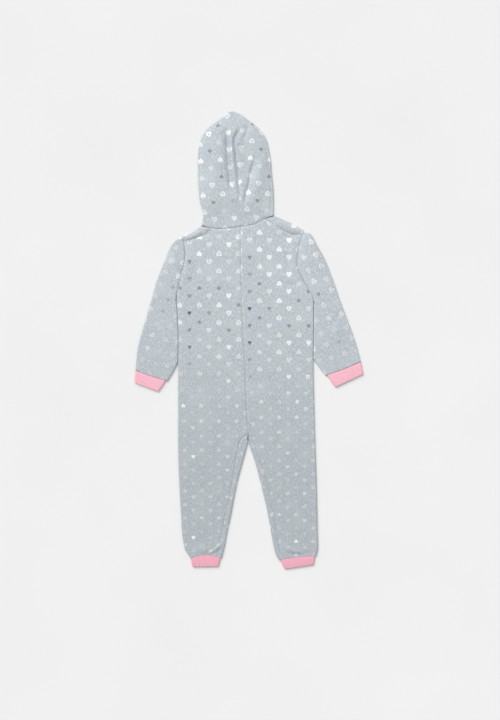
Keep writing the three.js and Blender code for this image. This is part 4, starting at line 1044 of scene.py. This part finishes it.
def stitches(name, lines, pitch=3.0, length=2.3):
    """Short stitches along lines under the garment."""
    ring = 6
    shape = ((0, 0.05, 0.3), (0.15, 0.26, 0.08), (0.5, 0.26, 0), (0.85, 0.26, 0.08), (1, 0.05, 0.3))
    points, faces = [], []
    for corners in lines:
        line = spline(corners, even(corners, 400))
        run = np.concatenate([[0], np.cumsum(np.linalg.norm(np.diff(line, axis=0), axis=1))])
        for k in range(int(run[-1] / pitch)):
            start = 0.5 + k * pitch
            ends = np.stack([np.interp([start, start + length], run, line[:, axis]) for axis in (0, 1)], -1)
            along = unit(ends[1] - ends[0])
            across = np.array([-along[1], along[0]])
            faces += tube_faces(len(points), len(shape), ring)
            for share, r, sink in shape:
                centre = lerp(ends[0], ends[1], share)
                for j in range(ring):
                    angle = 2 * math.pi * j / ring
                    place = centre + across * math.cos(angle) * r
                    points.append((place[0], place[1], 0.28 + sink + math.sin(angle) * r))
    return mesh_object(name, (np.array(points) + ORIGIN) / 1000, faces)


# Materials

class Graph:
    """A new material, with short names for making its shader nodes."""

    def __init__(self, name):
        self.material = bpy.data.materials.new(name)
        self.material.use_nodes = True
        self.tree = self.material.node_tree
        self.shader = next(n for n in self.tree.nodes if n.type == "BSDF_PRINCIPLED")

    def node(self, kind, inputs=None, **settings):
        made = self.tree.nodes.new(kind)
        for key, value in settings.items():
            setattr(made, key, value)
        for key, value in (inputs or {}).items():
            self.set(made.inputs[key], value)
        return made

    def set(self, socket, value):
        if isinstance(value, bpy.types.NodeSocket):
            self.tree.links.new(value, socket)
        else:
            socket.default_value = value

    def math(self, operation, a, b=0.0, clamp=False):
        made = self.node("ShaderNodeMath", {0: a, 1: b}, operation=operation, use_clamp=clamp)
        return made.outputs[0]

    def plus(self, a, b):
        return self.math("ADD", a, b)

    def minus(self, a, b):
        return self.math("SUBTRACT", a, b)

    def times(self, a, b):
        return self.math("MULTIPLY", a, b)

    def larger(self, a, b):
        return self.math("MAXIMUM", a, b)

    def scaled(self, vector, scale):
        made = self.node("ShaderNodeVectorMath", {0: vector, "Scale": scale}, operation="SCALE")
        return made.outputs[0]

    def parts(self, vector):
        """The x, y and z of a vector."""
        made = self.node("ShaderNodeSeparateXYZ", {0: vector})
        return made.outputs["X"], made.outputs["Y"], made.outputs["Z"]

    def place(self):
        """Where a point lies in the frame."""
        return self.node("ShaderNodeTexCoord").outputs["Object"]

    def cloth_place(self):
        """Where a point lies on the flat cloth."""
        return self.node("ShaderNodeAttribute", attribute_name="cloth_place").outputs["Vector"]

    def look(self, name, value):
        """Sets a value of the surface."""
        self.set(self.shader.inputs[name], value)

    def bump(self, height, strength, distance):
        made = self.node("ShaderNodeBump", {"Strength": strength, "Distance": distance, "Height": height})
        self.look("Normal", made.outputs[0])

    def between(self, value, low, high, to_low=0.0, to_high=1.0):
        made = self.node(
            "ShaderNodeMapRange",
            {"Value": value, "From Min": low, "From Max": high, "To Min": to_low, "To Max": to_high},
            interpolation_type="SMOOTHSTEP",
        )
        return made.outputs["Result"]

    def mix(self, share, a, b):
        made = self.node("ShaderNodeMix", data_type="RGBA")
        self.set(made.inputs["Factor"], share)
        self.set(made.inputs["A"], a)
        self.set(made.inputs["B"], b)
        return made.outputs["Result"]

    def noise(self, vector, scale, detail=2.0, roughness=0.5):
        made = self.node(
            "ShaderNodeTexNoise", {"Vector": vector, "Scale": scale, "Detail": detail, "Roughness": roughness}
        )
        return made.outputs["Fac"]


def colour(r, g, b):
    """Shader colour from the 0 to 255 values of a display."""
    return tuple(((v / 255 + 0.055) / 1.055) ** 2.4 for v in (r, g, b)) + (1.0,)


WHITE = (1.0, 1.0, 1.0, 1.0)

# Where the foil gets a painted highlight, a flash of light: centre, and the distances over which the flash
# fades, in metres.
FLASHES = [
    (0.0735, 0.179, 0.042, 0.062),
    (0.1152, -0.4927, 0.009, 0.011),
    (-0.1359, -0.4829, 0.009, 0.011),
    (-0.1367, -0.2847, 0.009, 0.011),
    (-0.1607, -0.1607, 0.009, 0.011),
]


def jersey_material(name, tint, foil_share, foil_bright):
    """Brushed heather jersey, with small foil hearts in columns that point down and up in turn."""
    g = Graph(name)
    place = g.cloth_place()
    u, v, _ = g.parts(place)

    # Heather: pale and dark fibres drawn out along the knit, and slow clouds.
    stretch = g.node("ShaderNodeVectorMath", {0: place, 1: (1.0, 0.55, 1.0)}, operation="MULTIPLY")
    stretched = stretch.outputs[0]
    fibres = g.noise(stretched, 900, 3, 0.6)
    flecks = g.noise(stretched, 380, 2, 0.55)
    clouds = g.noise(place, 26, 3, 0.55)
    tone = g.plus(g.times(fibres, 0.55), g.times(flecks, 0.45))
    light = g.between(tone, 0.36, 0.66)
    dark = tuple(c * 0.70 for c in tint[:3]) + (1.0,)
    pale = tuple(min(c * 1.34, 1) for c in tint[:3]) + (1.0,)
    cloth = g.mix(light, dark, pale)
    tufts = g.between(g.noise(stretched, 240, 2, 0.65), 0.36, 0.62)
    cloth = g.mix(g.times(tufts, 0.95), cloth, tuple(c * 0.80 for c in tint[:3]) + (1.0,))
    cool = (tint[0] * 0.93, tint[1] * 0.95, tint[2] * 1.03, 1.0)
    warm = (tint[0] * 1.02, tint[1] * 1.04, tint[2] * 0.99, 1.0)
    cloth = g.mix(g.between(clouds, 0.35, 0.65, 0.0, 0.3), cloth, cool)
    cloth = g.mix(g.between(g.noise(place, 17, 2, 0.5), 0.45, 0.7, 0.0, 0.3), cloth, warm)

    # Painted shade and light: the cloth colour is darkened down the legs and brightened on the hood, in place
    # of the fall of the light.
    frame_x, frame_y, frame_z = g.parts(g.place())
    shade = g.between(frame_y, -0.44, 0.26, 0.85, 1.02)
    cloth = g.scaled(cloth, shade)

    # Hearts: one in each cell of a column, half a cell lower in every other column.
    pitch_u, pitch_v = PRINT_ACROSS / 1000, PRINT_DOWN / 1000
    across = g.math("DIVIDE", u, pitch_u)
    column = g.math("ROUND", across)
    odd = g.math("ABSOLUTE", g.math("MODULO", column, 2.0))
    down = g.plus(g.math("DIVIDE", v, pitch_v), g.times(odd, 0.5))
    cell = g.math("ROUND", down)
    x = g.times(g.minus(across, column), pitch_u / 0.0067)
    y = g.times(g.minus(down, cell), pitch_v / 0.0067)
    turn = g.minus(1.0, g.times(odd, 2.0))
    y = g.times(y, turn)
    # A circle whose points are lifted by the root of their distance from the middle is a heart.
    lift = g.times(g.math("SQRT", g.math("ABSOLUTE", x)), 0.66)
    level = g.minus(g.times(g.plus(y, 0.16), 1.12), lift)
    ring = g.math("SQRT", g.plus(g.times(x, x), g.times(level, level)))
    ring = g.times(ring, g.between(frame_y, -0.18, 0.12, 1.22, 1.0))
    # Each heart has its own strength, and the foil is broken a little by the nap.
    which = g.node("ShaderNodeCombineXYZ", {0: column, 1: cell}).outputs[0]
    luck = g.node("ShaderNodeTexWhiteNoise", {"Vector": which}, noise_dimensions="3D").outputs
    worn = g.between(g.noise(place, 430, 3, 0.6), 0.34, 0.58, 0.45, 1.0)
    strength = g.between(luck["Value"], 0.15, 0.85, 1 - foil_share, 1.0)
    second = g.node("ShaderNodeSeparateColor", {0: luck["Color"]}).outputs[0]
    # Painted highlight: the foil is painted solid white on a patch beside the right armhole and on four
    # single hearts, where the light catches it.
    flash = 0.0
    for spot_x, spot_y, inner, outer in FLASHES:
        aside = g.minus(frame_x, spot_x)
        above = g.minus(frame_y, spot_y)
        away = g.math("SQRT", g.plus(g.times(aside, aside), g.times(above, above)))
        flash = g.larger(flash, g.between(away, inner, outer, 1.0, 0.0))
    flash = g.times(flash, g.between(frame_z, 0.002, 0.003))
    strength = g.larger(strength, flash)
    # Painted dark reflection: here and there a heart is painted dark grey, and so is most of one column down
    # the back, as foil that mirrors the dark.
    column_off = g.math("ABSOLUTE", g.plus(column, 2.0))
    painted_dark_column = g.times(g.between(column_off, 0.4, 0.5, 1.0, 0.0), g.between(luck["Value"], 0.2, 0.25))
    painted_dark_column = g.times(painted_dark_column, g.between(frame_y, 0.21, 0.25, 1.0, 0.0))
    painted_dark_reflection = g.larger(g.between(second, 0.08, 0.1, 1.0, 0.0), painted_dark_column)
    painted_dark_reflection = g.times(painted_dark_reflection, g.between(frame_y, -0.12, -0.08))
    painted_dark_reflection = g.times(painted_dark_reflection, g.minus(1.0, flash))
    strength = g.larger(strength, g.times(painted_dark_reflection, 0.62))
    heart = g.between(g.times(ring, g.plus(g.times(painted_dark_reflection, 0.38), 1.0)), 1.06, 0.94)
    # Painted highlight: the foil is brightened where it would catch the light, on the chest and the hood and
    # on a few hearts at random, and hardly on the legs and the sleeves.
    lean = g.plus(frame_y, g.times(frame_x, 0.35))
    fresh = g.between(lean, -0.22, 0.03, 0.46, 1.0)
    rare = g.between(luck["Value"], 0.955, 0.965)
    fresh = g.larger(fresh, g.times(rare, 0.95))
    sideways = g.math("ABSOLUTE", frame_x)
    fresh = g.times(fresh, g.between(sideways, 0.155, 0.195, 1.0, 0.45))
    fresh = g.larger(fresh, flash)
    hollow = g.larger(g.between(ring, 0.25, 0.7, 0.35, 1.0), flash)
    hollow = g.larger(hollow, g.between(g.math("ABSOLUTE", g.minus(second, 0.6)), 0.16, 0.18))
    foil = g.math("MULTIPLY", g.times(heart, worn), g.times(strength, fresh), clamp=True)
    foil = g.times(foil, hollow)
    # Painted highlight: some hearts are whitened at random, and the flash places wholly, as foil catching the
    # light; the dark hearts take a painted dark reflection colour.
    bright = g.mix(g.between(second, 0.15, 0.6), foil_bright, WHITE)
    bright = g.mix(flash, bright, WHITE)
    bright = g.mix(painted_dark_reflection, bright, colour(84, 93, 105))
    whole = g.mix(foil, cloth, bright)
    g.look("Base Color", whole)
    g.look("Metallic", g.times(foil, 0.35))
    g.look("Roughness", g.between(foil, 0.0, 1.0, 0.92, 0.36))
    g.look("Specular IOR Level", 0.25)
    g.look("Sheen Weight", 0.35)
    g.look("Sheen Roughness", 0.45)

    # Knit: columns of small V stitches, under a short nap.
    wale = g.math("DIVIDE", u, 0.0017)
    off = g.math("ABSOLUTE", g.minus(wale, g.math("ROUND", wale)))
    slant = g.plus(g.math("DIVIDE", v, 0.0013), g.times(off, 1.3))
    loop = g.math("SINE", g.times(slant, 2 * math.pi))
    crown = g.minus(1.0, g.times(g.times(off, off), 4.0))
    knit = g.plus(g.times(crown, 0.3), g.times(loop, 0.16))
    nap = g.noise(place, 1400, 4, 0.65)
    height = g.plus(knit, g.times(nap, 1.1))
    height = g.plus(height, g.times(g.noise(place, 120, 3, 0.5), 1.3))
    g.bump(height, 0.45, 0.0006)
    return g.material


def rib_material():
    """Soft rib knit in pink."""
    g = Graph("pink_rib")
    place = g.cloth_place()
    u, v, _ = g.parts(place)
    fibres = g.noise(place, 1300, 3, 0.6)
    clouds = g.noise(place, 90, 2, 0.5)
    base = g.mix(g.between(fibres, 0.3, 0.7), colour(237, 160, 181), colour(253, 199, 213))
    base = g.mix(g.between(clouds, 0.3, 0.7, 0.0, 0.3), base, colour(243, 172, 191))
    frame_x, frame_y, frame_z = g.parts(g.place())
    # Painted light: the cuffs are paled and brightened towards the wrists, higher in the frame, in place of
    # the fall of the light.
    base = g.mix(g.between(frame_y, -0.5, -0.1, 0.0, 0.09), base, WHITE)
    shade = g.between(frame_y, -0.5, -0.1, 1.03, 1.12)
    base = g.scaled(base, shade)
    g.look("Base Color", base)
    g.look("Roughness", 0.9)
    g.look("Specular IOR Level", 0.2)
    g.look("Sheen Weight", 0.3)
    g.look("Sheen Roughness", 0.5)
    loops = g.math("SINE", g.times(v, 2 * math.pi / 0.0011))
    fine = g.math("SINE", g.times(u, 2 * math.pi / 0.0009))
    height = g.plus(g.times(loops, 0.5), g.times(fine, 0.25))
    height = g.plus(height, g.times(fibres, 1.2))
    g.bump(height, 0.5, 0.0005)
    return g.material


def tape_material():
    """Plain woven tape."""
    g = Graph("zip_tape")
    place = g.place()
    u, v, _ = g.parts(place)
    warp = g.math("SINE", g.times(u, 2 * math.pi / 0.0007))
    weft = g.math("SINE", g.times(v, 2 * math.pi / 0.0006))
    weave = g.times(warp, weft)
    fibres = g.noise(place, 1600, 3, 0.6)
    base = g.mix(g.between(fibres, 0.3, 0.7), colour(196, 201, 207), colour(222, 226, 230))
    g.look("Base Color", base)
    g.look("Roughness", 0.75)
    height = g.plus(g.times(weave, 0.6), g.times(fibres, 0.5))
    g.bump(height, 0.5, 0.0003)
    return g.material


def coil_material():
    """Glossy nylon coil."""
    g = Graph("zip_coil")
    place = g.place()
    shade = g.noise(place, 700, 2, 0.5)
    base = g.mix(g.between(shade, 0.3, 0.7), colour(205, 210, 216), colour(232, 236, 240))
    g.look("Base Color", base)
    g.look("Roughness", g.between(shade, 0.3, 0.7, 0.3, 0.42))
    return g.material


def thread_material():
    """Twisted sewing thread."""
    g = Graph("sewing_thread")
    place = g.place()
    shade = g.noise(place, 2200, 2, 0.6)
    base = g.mix(g.between(shade, 0.3, 0.7), colour(212, 217, 222), colour(238, 240, 243))
    g.look("Base Color", base)
    g.look("Roughness", 0.6)
    g.bump(shade, 0.4, 0.0001)
    return g.material


def metal_material():
    """Pale enamel over die-cast metal, a little worn."""
    g = Graph("zip_metal")
    place = g.place()
    wear = g.noise(place, 420, 4, 0.65)
    worn = g.between(wear, 0.62, 0.74)
    base = g.mix(worn, colour(226, 229, 233), colour(168, 172, 178))
    g.look("Base Color", base)
    g.look("Metallic", g.between(worn, 0, 1, 0.35, 0.9))
    g.look("Roughness", g.between(wear, 0.3, 0.7, 0.28, 0.46))
    g.bump(g.noise(place, 900, 3, 0.6), 0.2, 0.0002)
    return g.material


def floor_material():
    g = Graph("floor")
    place = g.place()
    shade = g.between(g.noise(place, 3, 2, 0.5), 0.2, 0.8)
    g.look("Base Color", g.mix(shade, colour(240, 240, 240), colour(243, 243, 243)))
    g.look("Roughness", 0.9)
    return g.material


# The garment

JERSEY = jersey_material("heather_jersey", colour(204, 212, 217), 0.45, colour(234, 239, 244))
RIB = rib_material()
TAPE = tape_material()
COIL = coil_material()
METAL = metal_material()
THREAD = thread_material()

pieces = {}
for side in ("left", "right"):
    edges = Side(side)
    pieces["back_" + side] = back_panel(edges)
    pieces["front_" + side] = front_panel(edges)
    pieces["sleeve_" + side] = sleeve(edges)
    pieces["hood_" + side] = hood_half(edges)
    pieces["wrist_cuff_" + side] = wrist_cuff(edges)
    pieces["ankle_cuff_" + side] = ankle_cuff(edges)
for node, piece in pieces.items():
    piece.data.materials.append(RIB if "cuff" in node else JERSEY)
    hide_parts(node)

tape, chain = zip_tape(), zip_chain()
tape.data.materials.append(TAPE)
chain.data.materials.append(COIL)
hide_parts("zip_tape")
thread = stitches("sewing_thread", SEWN)
thread.data.materials.append(THREAD)
for node in ("zip_slider", "zip_pull"):
    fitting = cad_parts[node]
    fitting.data.materials.clear()
    fitting.data.materials.append(METAL)

# Stage, light and camera

floor_half = 30.0
floor_corners = [(x * floor_half, y * floor_half, -0.0004) for x, y in ((-1, -1), (1, -1), (1, 1), (-1, 1))]
floor_mesh = bpy.data.meshes.new("floor")
floor_mesh.from_pydata(floor_corners, [], [[0, 1, 2, 3]])
floor = bpy.data.objects.new("floor", floor_mesh)
bpy.context.scene.collection.objects.link(floor)
floor.data.materials.append(floor_material())

for node, piece in pieces.items():
    kind, side = node.split("_")[0], node.rsplit("_", 1)[1]

world = bpy.data.worlds.new("world")
world.use_nodes = True
background = next(n for n in world.node_tree.nodes if n.type == "BACKGROUND")
background.inputs["Color"].default_value = WHITE
background.inputs["Strength"].default_value = 0.49
bpy.context.scene.world = world


def far_light(name, place, strength, spread):
    """A large distant lamp that lights the whole floor evenly."""
    light = bpy.data.lights.new(name, "SUN")
    light.energy = strength
    light.angle = math.radians(spread)
    lamp = bpy.data.objects.new(name, light)
    lamp.location = place
    lamp.rotation_mode = "QUATERNION"
    lamp.rotation_quaternion = Vector([-v for v in place]).to_track_quat("-Z", "Y")
    bpy.context.scene.collection.objects.link(lamp)


far_light("key", (-2.4, 3.6, 3.9), 2.1, 40)
far_light("fill", (3.0, -2.0, 4.0), 0.22, 40)

camera_data = bpy.data.cameras.new("camera")
camera_data.lens = 100
camera_data.sensor_width = 36
camera = bpy.data.objects.new("camera", camera_data)
camera.location = (0.0025, -0.0488, 4.905)
camera.rotation_euler = (0, 0, 0)
bpy.context.scene.collection.objects.link(camera)
bpy.context.scene.camera = camera
bpy.context.scene.view_settings.view_transform = "Standard"
